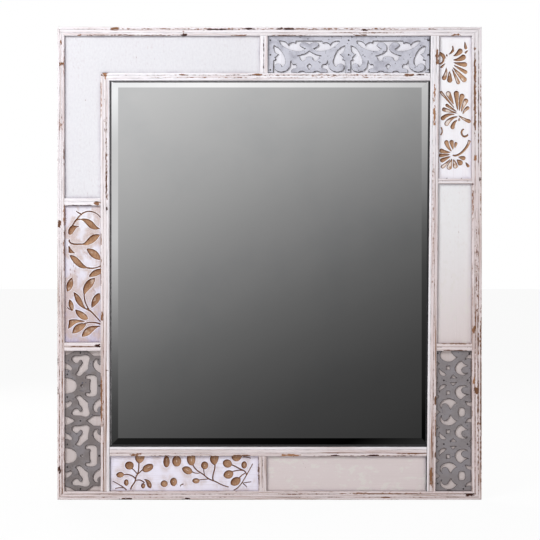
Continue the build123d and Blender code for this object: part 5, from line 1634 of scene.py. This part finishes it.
@dataclass
class Panels:
    """The three carved and the three plain panels."""

    gap: float = 0.4
    cell: float = 0.65
    plain_cell: float = 2.5
    edge_radius: float = 0.7
    shade_reach: float = 10.0
    arris_drop: float = 0.3
    waviness: float = 0.12
    wave_size: float = 60.0
    dent_depth: float = 0.05
    dent_size: float = 9.0
    wear: float = 0.18
    carved_wear: float = 0.08
    wear_swing: float = 0.12
    wear_size: float = 24.0
    # Painted shadow along each panel's margin where the rails shade the recessed board, broken into patches
    # of a size; then the band over which a carving's painted shade grows towards the foot.
    margin_shade: Line = (0.25, 0.3)
    margin_shade_size: float = 30.0
    painted_shade_foot_band: Band = (-20.0, 170.0)
    gouge: Gouge = Gouge()
    carvings: tuple[Carving, ...] = (
        Carving("carved_panel_left", True, 0.4, 0.4, 0.45, 2.6, 0.1, painted_shade=0.3, painted_shade_to_foot=0.4),
        Carving("carved_panel_right", True, 0.8, 0.3, 0.95, 0.2, -0.12, ridged=True),
        Carving("carved_panel_bottom", False, 0.2, 0.9, 0.2, 0.9, 0.16),
    )
    plain: tuple[PlainBoard, ...] = (
        PlainBoard("plain_panel_right", True, 0.06),
        PlainBoard("plain_panel_bottom", False, 0.0),
        PlainBoard("plain_panel_corner", True, 0.34),
    )

    def outline(self, node: str) -> list[Point]:
        """Corners of a four-sided panel, from its solid.

        Args:
            node: Name of the solid.

        Returns:
            Lower left, lower right, upper right and upper left corners.
        """
        points = [vertex.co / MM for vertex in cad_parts[node].data.vertices]
        places = [(p.x, p.z - MIDDLE_Z) for p in points if p.y > LINES.rest - 0.1]
        signs = ((-1, -1), (1, -1), (1, 1), (-1, 1))
        return [max(places, key=lambda p: sx * p[0] * 3 + sz * p[1]) for sx, sz in signs]

    def grid(self, corners: list[Point], cell: float) -> Grid:
        """Lays a grid over a four-sided outline.

        Args:
            corners: Its four corners.
            cell: Size of a cell.

        Returns:
            The grid, all of it kept.
        """
        low_left, low_right, high_right, high_left = (np.array(corner) for corner in corners)
        across = max(4, round(np.linalg.norm(low_right - low_left) / cell))
        up = max(4, round(np.linalg.norm(high_left - low_left) / cell))
        u, v = np.meshgrid(np.linspace(0, 1, across + 1), np.linspace(0, 1, up + 1))
        u, v = u[:, :, None], v[:, :, None]
        places = (low_left * (1 - u) + low_right * u) * (1 - v) + (high_left * (1 - u) + high_right * u) * v
        return Grid(places[:, :, 0], places[:, :, 1], np.ones((up, across), bool))

    def corner_grid(self) -> Grid:
        """Lays a grid over the panel that turns the upper left corner."""
        low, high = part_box("plain_panel_corner")
        x0, x1 = low.x / MM, high.x / MM
        z0, z1 = low.z / MM - MIDDLE_Z, high.z / MM - MIDDLE_Z
        turn_x, turn_z = LINES.stile_left - self.gap, LINES.rail_top + self.gap
        xs = np.concatenate((self.ticks(x0, turn_x)[:-1], self.ticks(turn_x, x1)))
        zs = np.concatenate((self.ticks(z0, turn_z)[:-1], self.ticks(turn_z, z1)))
        x, z = np.meshgrid(xs, zs)
        keep = (x[:-1, :-1] < turn_x - 0.1) | (z[:-1, :-1] > turn_z - 0.1)
        return Grid(x, z, keep)

    def ticks(self, start: float, end: float) -> Values:
        """Even steps of about a plain cell."""
        return np.linspace(start, end, max(2, round((end - start) / self.plain_cell)) + 1)

    def reach(self, node: str, grid: Grid) -> Values:
        """Reads the gouged leaves of a solid.

        Args:
            node: Name of the solid.
            grid: Grid over its front.

        Returns:
            How far each point lies inside the nearest gouge's edge, less than nothing outside it.
        """
        level = LINES.panel

        def is_wall(normal: Vector, corners: list[Vector]) -> bool:
            """Whether a face is the wall of a gouge at the panel's front."""
            depths = [corner.y / MM for corner in corners]
            return abs(normal.y) < STEEP and min(depths) < level + 0.2 and max(depths) < level + 2.5

        solid, walls = node_tree(node), node_tree(node, is_wall)
        reach = np.full(grid.x.size, -99.0)
        forward = Vector((0.0, 1.0, 0.0))
        for i, (x, z) in enumerate(zip(grid.x.ravel(), grid.z.ravel())):
            start = Vector((x, level - 5.0, z + MIDDLE_Z)) * MM
            hit = solid.ray_cast(start, forward)[0]
            inside = hit is not None and hit.y / MM > level + 0.3
            near = walls.find_nearest(Vector((x, level, z + MIDDLE_Z)) * MM)[3]
            if near is not None:
                reach[i] = near / MM if inside else -near / MM
        return reach.reshape(grid.x.shape)

    def carve(self, carving: Carving, grid: Grid, cuts: SmoothNoise) -> tuple[Fields, Values, Values]:
        """Opens the gouges out by hand, with veins, raised rims, stain and painted shade.

        Args:
            carving: How the panel was cut.
            grid: Grid over its front.
            cuts: Noise of the tool's cuts.

        Returns:
            The fields of the carving, how much deeper each point lies, and the raised rims.
        """
        x, z, gouge = grid.x, grid.z, self.gouge
        reach = self.reach(carving.node, grid)
        up, across = np.gradient(reach, self.cell)
        crest = 1.0 - smooth_step(np.hypot(up, across), *gouge.crest_band)
        between = crest * (reach < 0.0) * (reach > -carving.widen - gouge.ridge)
        reach = reach + carving.widen * (1.0 - between) - gouge.ridge * between * carving.ridged
        inside, deep = reach > 0.0, np.clip(reach, 0.0, None)
        bowl = 1.0 - (1.0 - np.clip(reach / gouge.bowl, 0.0, 1.0)) ** 2
        rim = np.where(inside, 0.0, np.exp(-((reach / gouge.rim_width) ** 2)))
        vein = self.grown(crest * smooth_step(reach, *gouge.vein_band), gouge.vein_drop)
        # Painted shade: darker on the side of each gouge nearest the upper left, which the light leaves in
        # shadow, and along its edge.
        shadow_side = np.clip(gouge.shadow_side_slope * across - gouge.shadow_side_slope * up, -1.0, 1.0)
        shadow_side = shadow_side * np.exp(-deep / gouge.shadow_side_width)
        edge = np.exp(-((deep / gouge.edge_width) ** 2))
        rubs = cuts.layered(x / gouge.rub_size[0], z / gouge.rub_size[1])
        rubbed = np.clip(gouge.rub_by_noise[1] + gouge.rub_by_noise[0] * rubs, 0.0, 1.0)
        patchy = cuts.patches(x, z, gouge.vein_patch, gouge.vein_by_noise)
        hazy = carving.haze * cuts.patches(x, z, gouge.haze_patch, gouge.haze_by_noise, gouge.haze_shift)
        smudge = np.exp(-((reach / gouge.smudge_width) ** 2)) * rubbed * (1.0 - rim) * carving.smudge
        # Darkness of the bare wood: stain, with the painted shade.
        shade = gouge.shade + carving.stain + gouge.shadow_side_shade * shadow_side + gouge.edge_shade * edge
        marks = {
            "carve": np.clip(0.5 + 0.5 * reach, 0.0, 1.0),
            "shade": np.clip(shade, 0.0, gouge.most_shade),
            "vein": np.maximum(vein * carving.vein * patchy, hazy * patchy) * (1.0 - edge),
            "smudge": np.clip(smudge, 0.0, 1.0),
        }
        bottom = gouge.depth + gouge.chatter * cuts.at(x / gouge.chatter_size, z / gouge.chatter_size)
        cut = np.where(inside, bottom * bowl - gouge.vein_height * vein, -gouge.rim_height * rim)
        return marks, cut, rim

    def shape(self, grid: Grid, seed: int, board: Carving | PlainBoard) -> Shape:
        """Builds a panel's slab.

        Args:
            grid: Grid over its front.
            seed: Seed of its wear.
            board: How it was carved, or how it was painted.

        Returns:
            The slab's mesh with its fields.
        """
        x, z = grid.x, grid.z
        noise, fine = SmoothNoise(seed), SmoothNoise(seed + FINE_SEED)
        waves = noise.layered(x / self.wave_size, z / self.wave_size)
        dents = fine.layered(x / self.dent_size, z / self.dent_size)
        depth = LINES.panel + self.waviness * (1 + waves) + self.dent_depth * (1 + dents)
        near, margin = self.border_shade(grid)
        # The paint's ageing, which also paints shade towards the foot and the right.
        age = AGEING_AND_SHADE.at(x, z)
        # Painted shadow along the margin, where the rails shade the recessed board.
        shade_patches = noise.layered(x / self.margin_shade_size, z / self.margin_shade_size)
        dirt_and_shade = margin * (self.margin_shade[1] + self.margin_shade[0] * shade_patches)
        if isinstance(board, Carving):
            fields, cut, rim = self.carve(board, grid, fine)
            depth = depth + cut
            # Painted shade over the carving, growing towards the foot and kept off the raised rims.
            painted_shade = board.painted_shade + board.painted_shade_to_foot * smooth_step(-z, *self.painted_shade_foot_band)
            dirt_and_shade, least = dirt_and_shade + painted_shade * (1.0 - rim), self.carved_wear
        else:
            fields, age, least = {}, age**3, self.wear
            # Painted shade over the plain board, most where its paint is least aged.
            dirt_and_shade = dirt_and_shade + board.painted_shade * (1.0 - age)
        base = least + self.wear_swing * noise.layered(x / self.wear_size, z / self.wear_size)
        wear, tone = WEAR.read(x, z, np.clip(base, 0.0, 1.0))
        front = np.stack((x, depth + self.edge_radius * near**4, z), axis=2).reshape(-1, 3)
        fields |= {"wear": wear, "tone": tone, "age": age, "dirt_and_shade": np.clip(dirt_and_shade, 0.0, 1.0)}
        flat = {label: values.ravel() for label, values in fields.items()}
        flat["lay"] = lay_of(z, x, seed) if board.upright else lay_of(x, z, seed)
        quads = grid.faces()
        used = np.unique(np.array(quads).ravel())
        renumber = np.full(front.shape[0], -1)
        renumber[used] = np.arange(len(used))
        faces = [tuple(int(renumber[i]) for i in quad) for quad in quads]
        points, faces = closed_slab(front[used], faces, LINES.rest)
        extra = len(points) - len(used)
        spread = {label: self.spread(values[used], extra) for label, values in flat.items()}
        return Shape(points, faces, spread)

    def border_shade(self, grid: Grid) -> tuple[Values, Values]:
        """Closeness to the panel's outline.

        Args:
            grid: Grid over its front.

        Returns:
            A narrow closeness, 1 on the outline and 0 a few cells away, and one that fades over the
            shade's reach.
        """
        inside = np.pad(grid.keep, 1)
        solid = inside[1:, 1:] & inside[:-1, 1:] & inside[1:, :-1] & inside[:-1, :-1]
        cell = abs(grid.x[0, 1] - grid.x[0, 0])
        near = (~solid).astype(float)
        margin = near.copy()
        for _ in range(round(self.shade_reach / cell)):
            near = self.grown(near, self.arris_drop)
            margin = self.grown(margin, cell / self.shade_reach)
        return near, margin**2

    def grown(self, values: Values, drop: float) -> Values:
        """Values spread to their neighbours, less a drop for each step."""
        padded = np.pad(values, 1, mode="edge")
        level = np.maximum(padded[1:-1, 2:], padded[1:-1, :-2])
        upright = np.maximum(padded[2:, 1:-1], padded[:-2, 1:-1])
        return np.maximum(values, np.maximum(level, upright) - drop)

    def spread(self, values: Values, extra: int) -> Values:
        """A field with the last value repeated for the points of sides and back."""
        return np.concatenate((values, np.repeat(values[-1:], extra, axis=0)))

    def build(self, cream: Material, carved: Material) -> None:
        """Builds and dresses the six panels."""
        for seed, carving in enumerate(self.carvings, start=21):
            shape = self.shape(self.grid(self.outline(carving.node), self.cell), seed, carving)
            make_piece(f"{carving.node}_wood", shape, carved, "frame", [carving.node])
        for seed, board in enumerate(self.plain, start=31):
            turned = board.node == "plain_panel_corner"
            grid = self.corner_grid() if turned else self.grid(self.outline(board.node), self.plain_cell)
            shape = self.shape(grid, seed, board)
            make_piece(f"{board.node}_wood", shape, cream, "frame", [board.node])


# ================================================================ pierced tin


@dataclass
class TinWork:
    """The three pierced tin sheets, buckled and sheared, with their boards and tacks."""

    cell: float = 3.0
    buckle: float = 0.45
    buckle_size: float = 34.0
    rim_width: float = 1.0
    lit_rim: float = 0.62
    # Painted shadow: rims along the upper left side of each opening, where the sheet's edge would cast its
    # shadow, are darker still.
    rim_painted_shadow: float = 0.38
    shadow_side_band: Band = (-0.4, 0.5)
    # Tarnish of each sheet; the two lower sheets are made darker, partly real tarnish and partly painted
    # shade.
    tarnish: dict[Side, float] = field(
        default_factory=lambda: {Side.TOP: 0.0, Side.LEFT: 1.0, Side.RIGHT: 0.88}
    )

    def cut_up(self, node: str) -> bmesh.types.BMesh:
        """Cuts a sheet's solid into a fine mesh.

        Args:
            node: Name of the solid.

        Returns:
            The mesh, in metres.
        """
        mesh = bmesh.new()
        mesh.from_mesh(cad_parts[node].data)
        bmesh.ops.remove_doubles(mesh, verts=mesh.verts, dist=1e-6)
        low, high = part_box(node)
        for axis, normal in ((0, Vector((1, 0, 0))), (2, Vector((0, 0, 1)))):
            count = math.floor((high[axis] - low[axis]) / (self.cell * MM))
            for i in range(1, count):
                place = Vector((0, 0, 0))
                place[axis] = low[axis] + (high[axis] - low[axis]) * i / count
                geometry = mesh.verts[:] + mesh.edges[:] + mesh.faces[:]
                bmesh.ops.bisect_plane(mesh, geom=geometry, dist=1e-7, plane_co=place, plane_no=normal)
        mesh.verts.ensure_lookup_table()
        return mesh

    def shape(self, side: Side, seed: int) -> Shape:
        """Buckles a sheet and darkens its sheared rims, with painted shadow on the upper left side of each
        opening.

        Args:
            side: Side of the frame that the sheet is on.
            seed: Seed of its buckles.

        Returns:
            The sheet's mesh with its lay and rim fields, and its tarnish, which is partly painted shade.
        """
        node = f"tin_sheet_{side.value}"

        def is_wall(normal: Vector, corners: list[Vector]) -> bool:
            """Whether a face is a sheared edge of the sheet."""
            return abs(normal.y) < STEEP

        walls, mesh = node_tree(node, is_wall), self.cut_up(node)
        points = np.array([vertex.co for vertex in mesh.verts]) / MM - np.array((0.0, 0.0, MIDDLE_Z))
        faces = [tuple(vertex.index for vertex in face.verts) for face in mesh.faces]
        found = [walls.find_nearest(vertex.co) for vertex in mesh.verts]
        mesh.free()
        near = np.array([distance for _, _, _, distance in found]) / MM
        # How far each rim lies on the upper left side of its opening, where painted shadow goes.
        shadow_side = np.array([0.7 * (normal.x - normal.z) for _, normal, _, _ in found])
        x, z = points[:, 0], points[:, 2]
        buckles = SmoothNoise(seed).layered(x / self.buckle_size, z / self.buckle_size)
        points[:, 1] -= self.buckle * (0.5 + 0.5 * buckles)
        back = points[:, 1] > LINES.panel + 1.0
        # Rim darkness: the dark sheared edge, with painted shadow on the upper left side of each opening.
        dark = self.lit_rim + self.rim_painted_shadow * smooth_step(shadow_side, *self.shadow_side_band)
        rim = np.where(back, 1.0, np.exp(-((near / self.rim_width) ** 2)) * dark)
        # The sheet's tarnish, which on the lower sheets is partly painted shade.
        age = np.full(len(points), self.tarnish[side])
        return Shape(points, faces, {"lay": lay_of(x, z, seed), "rim": rim, "age": age})

    def build(self, tin: Material, boards: dict[Side, Material], nails: Material) -> None:
        """Builds the sheets and dresses their boards and tacks.

        Args:
            tin: Finish of the sheets.
            boards: Finish of the board behind each sheet, by side.
            nails: Finish of the tacks.
        """
        for seed, side in enumerate(self.tarnish, start=41):
            node = f"tin_sheet_{side.value}"
            make_piece(f"{node}_metal", self.shape(side, seed), tin, "frame", [node])
            dress(f"tin_backing_{side.value}", boards[side])
            dress(f"tin_tacks_{side.value}", nails)


def dress(node: str, finish: Material) -> None:
    """Gives a solid its finish, keeping its mesh."""
    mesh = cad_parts[node].data
    mesh.materials.clear()
    mesh.materials.append(finish)
    LOG.info("%s: dressed", node)


# ================================================================ glass, back and hangers


@dataclass
class Fittings:
    """Glass, back board, fasteners, hangers and bumpers."""

    plan: dict[str, str] = field(
        default_factory=lambda: {
            "mirror_glass": "mirror",
            "glass_pad": "card",
            "setting_blocks": "cork",
            "backing_board": "plywood",
            "board_screws": "zinc_steel",
            "divider_brads": "nail_steel",
            "left_hanger_strap": "zinc_steel",
            "right_hanger_strap": "zinc_steel",
            "left_d_ring": "zinc_steel",
            "right_d_ring": "zinc_steel",
            "left_hanger_screws": "zinc_steel",
            "right_hanger_screws": "zinc_steel",
            "wall_bumpers": "rubber",
        }
    )

    def build(self, finishes: dict[str, Material]) -> None:
        """Dresses each solid with its finish."""
        for node, name in self.plan.items():
            dress(node, finishes[name])


# ================================================================ studio


@dataclass(frozen=True)
class Lamp:
    """A round lamp that the glass doesn't show."""

    name: str
    place: Triple
    watts: float
    size: float
    tint: Triple

    def hang(self, aim: Vector) -> None:
        """Hangs the lamp and turns it to a point."""
        data = bpy.data.lights.new(self.name, "AREA")
        data.energy = self.watts
        data.shape = "DISK"
        data.size = self.size
        data.color = self.tint
        lamp = bpy.data.objects.new(self.name, data)
        lamp.location = self.place
        lamp.rotation_euler = (aim - lamp.location).to_track_quat("-Z", "Y").to_euler()
        lamp.visible_glossy = False
        lamp.visible_camera = False
        bpy.context.scene.collection.objects.link(lamp)


@dataclass
class Studio:
    """Camera, lamps, room light and floor."""

    camera_place: Triple = (0.00095, -2.718, 0.4873)
    lens: float = 85.0
    sensor: float = 36.0
    aim: Triple = (0.0, 0.0, 0.5)
    lamps: tuple[Lamp, ...] = (
        Lamp("key", (-1.2, -1.9, 1.9), 46.0, 1.2, (0.97, 0.98, 1.0)),
        Lamp("low_fill", (1.3, -1.6, 0.25), 2.6, 0.8, (1.0, 0.92, 0.9)),
        Lamp("rear", (-1.1, 2.0, 1.7), 30.0, 1.2, (1.0, 0.98, 0.96)),
        Lamp("side", (2.1, 0.6, 1.2), 14.0, 1.0, (1.0, 0.98, 0.96)),
    )
    fill: float = 0.36
    floor_half: float = 30.0
    floor_white: float = 0.93
    floor_grey: float = 0.86
    floor_roughness: float = 0.9
    side_turn: float = 0.49
    least_forward: float = 0.3
    beside_band: Band = (10.0, 15.0)
    beside_rise: float = 1.1
    beside_turn: float = 3.4
    rear_grey: float = 0.5
    room_steps: tuple[tuple[float, float], ...] = (  # degrees above level, grey
        (-90.0, 0.6),
        (-60.0, 0.42),
        (-40.0, 0.2),
        (-30.0, 0.06),
        (-25.0, 0.0005),
        (-22.0, 0.004),
        (-20.0, 0.01),
        (-16.0, 0.018),
        (-13.0, 0.025),
        (-10.25, 0.036),
        (-7.13, 0.053),
        (-6.07, 0.064),
        (-3.95, 0.092),
        (-1.83, 0.132),
        (0.3, 0.192),
        (2.43, 0.257),
        (4.55, 0.339),
        (6.67, 0.422),
        (7.73, 0.462),
        (10.85, 0.58),
        (20.0, 0.63),
        (22.6, 0.8),
        (25.0, 0.96),
        (60.0, 0.7),
    )

    def camera(self) -> None:
        """Sets up the level camera in front of the mirror."""
        data = bpy.data.cameras.new("camera")
        data.lens = self.lens
        data.sensor_width = self.sensor
        camera = bpy.data.objects.new("camera", data)
        camera.location = self.camera_place
        camera.rotation_euler = (math.radians(90.0), 0.0, 0.0)
        bpy.context.scene.collection.objects.link(camera)
        bpy.context.scene.camera = camera

    def gradient(self, wiring: Wiring) -> Socket:
        """The grey that the glass shows: a gradient before the mirror, and one grey behind it.

        Args:
            wiring: Wiring of the world.

        Returns:
            The colour's socket.
        """
        parts = wiring.parts(wiring.node("TexCoord").outputs["Generated"])
        forward = wiring.maths("MAXIMUM", wiring.maths("ABSOLUTE", parts[1]), self.least_forward)
        side, rise = (
            wiring.times(wiring.maths("DIVIDE", parts[axis], forward), SLOPE_TO_DEGREES) for axis in (0, 2)
        )
        beside = wiring.eased(wiring.maths("ABSOLUTE", side), *self.beside_band)
        steeper = wiring.times(wiring.times(rise, self.beside_rise), beside)
        nearer = wiring.times(wiring.times(wiring.maths("SIGN", side), self.beside_turn), beside)
        angle = wiring.plus(wiring.scaled(side, -self.side_turn, rise), wiring.plus(steeper, nearer))
        low, high = self.room_steps[0][0], self.room_steps[-1][0]
        share = wiring.node("MapRange", {"Value": angle, "From Min": low, "From Max": high}).outputs[0]
        ramp = wiring.node("ValToRGB", {0: share})
        stops = ramp.color_ramp.elements
        while len(stops) < len(self.room_steps):
            stops.new(0.5)
        for stop, (degrees, grey) in zip(stops, self.room_steps):
            stop.position = (degrees - low) / (high - low)
            stop.color = grey_of(grey)
        behind = wiring.maths("GREATER_THAN", parts[1], 0.0)
        return wiring.mix(behind, ramp.outputs[0], grey_of(self.rear_grey))

    def room(self) -> None:
        """Lights the room: white to the eye, a grey gradient in the glass, and a soft fill."""
        world = bpy.data.worlds.new("room")
        bpy.context.scene.world = world
        world.use_nodes = True
        wiring = Wiring(world.node_tree)
        rays = wiring.node("LightPath").outputs
        colour = wiring.mix(rays["Is Glossy Ray"], grey_of(self.fill), self.gradient(wiring))
        colour = wiring.mix(rays["Is Camera Ray"], colour, WHITE)
        wiring.feed(world.node_tree.nodes["Background"].inputs["Color"], colour)

    def floor(self) -> None:
        """Lays the pale floor, white to the eye with the mirror's shadow kept."""
        half = self.floor_half
        mesh = bpy.data.meshes.new("floor")
        corners = [(x * half, y * half, 0) for x, y in ((-1, -1), (1, -1), (1, 1), (-1, 1))]
        mesh.from_pydata(corners, [], [(0, 1, 2, 3)])
        surface = Surface("floor")
        surface.look(grey_of(self.floor_grey), self.floor_roughness)
        surface.set("Specular IOR Level", 0.0)
        glow = surface.node("Emission", {"Color": WHITE, "Strength": 1.0})
        rays = surface.node("LightPath").outputs
        share = surface.times(rays["Is Camera Ray"], self.floor_white)
        both = surface.node("MixShader", {0: share, 1: surface.shader.outputs[0], 2: glow.outputs[0]})
        surface.feed(surface.tree.nodes["Material Output"].inputs["Surface"], both.outputs[0])
        mesh.materials.append(surface.material)
        floor = bpy.data.objects.new("floor", mesh)
        floor.visible_glossy = False
        bpy.context.scene.collection.objects.link(floor)

    def build(self) -> None:
        """Sets up the whole studio."""
        self.camera()
        for lamp in self.lamps:
            lamp.hang(Vector(self.aim))
        self.room()
        self.floor()
        bpy.context.scene.view_settings.view_transform = "Standard"


def main() -> None:
    """Builds the studio, the finishes and the mirror's sub-assemblies in order."""
    logging.basicConfig(level=logging.INFO, format="%(name)s: %(message)s")
    Studio().build()
    effects = Effects.build()
    Rails().build(Whitewash("whitewashed_rail").material(effects))

    # On both panel coats the soiling colour is painted shade along the margins and over the boards, and the
    # old paint colour is partly painted shade towards the foot.
    cream = Whitewash(
        "cream_paint",
        paint=screen(242, 243, 244),
        thin_paint=screen(230, 220, 219),
        aged_and_shaded_paint=screen(220, 208, 207),
        dirt_and_shade=screen(186, 180, 192),
        streaks=0.02,
        relief=0.05,
    )
    carved = Whitewash(
        "carved_wood",
        paint=screen(253, 252, 255),
        thin_paint=screen(226, 214, 212),
        aged_and_shaded_paint=screen(242, 238, 251),
        dirt_and_shade=screen(172, 160, 186),
        streaks=0.06,
        relief=0.08,
    )
    Panels().build(CreamPaint(cream).material(effects), CarvedWhitewash(carved).material(effects))

    pale = Whitewash("pale_backing", screen(238, 237, 244), screen(222, 218, 227), streaks=0.2, on_solid=True)
    aged = Whitewash("aged_backing", screen(205, 194, 192), screen(188, 174, 170), streaks=0.2, on_solid=True)
    aged_board = aged.material(effects)
    boards = {Side.TOP: pale.material(effects), Side.LEFT: aged_board, Side.RIGHT: aged_board}
    nails = PlainMetal("nail_steel", screen(92, 88, 88), screen(58, 46, 42), 0.5).material(effects)
    TinWork().build(SheetTin("tin").material(effects), boards, nails)

    fittings = (
        SilveredGlass("mirror"),
        Speckled("card", screen(186, 166, 134), screen(150, 128, 98), 2.0, 0.9),
        Speckled("cork", screen(196, 150, 104), screen(120, 80, 50), 1.2, 0.9),
        RawBoard("plywood", screen(214, 184, 142), screen(176, 138, 96)),
        PlainMetal("zinc_steel", screen(190, 192, 196), screen(140, 142, 146), 0.38),
        Speckled("rubber", screen(46, 46, 48), screen(32, 32, 34), 3.0, 0.7),
    )
    Fittings().build({"nail_steel": nails} | {finish.name: finish.material(effects) for finish in fittings})


if __name__ == "__main__":
    main()
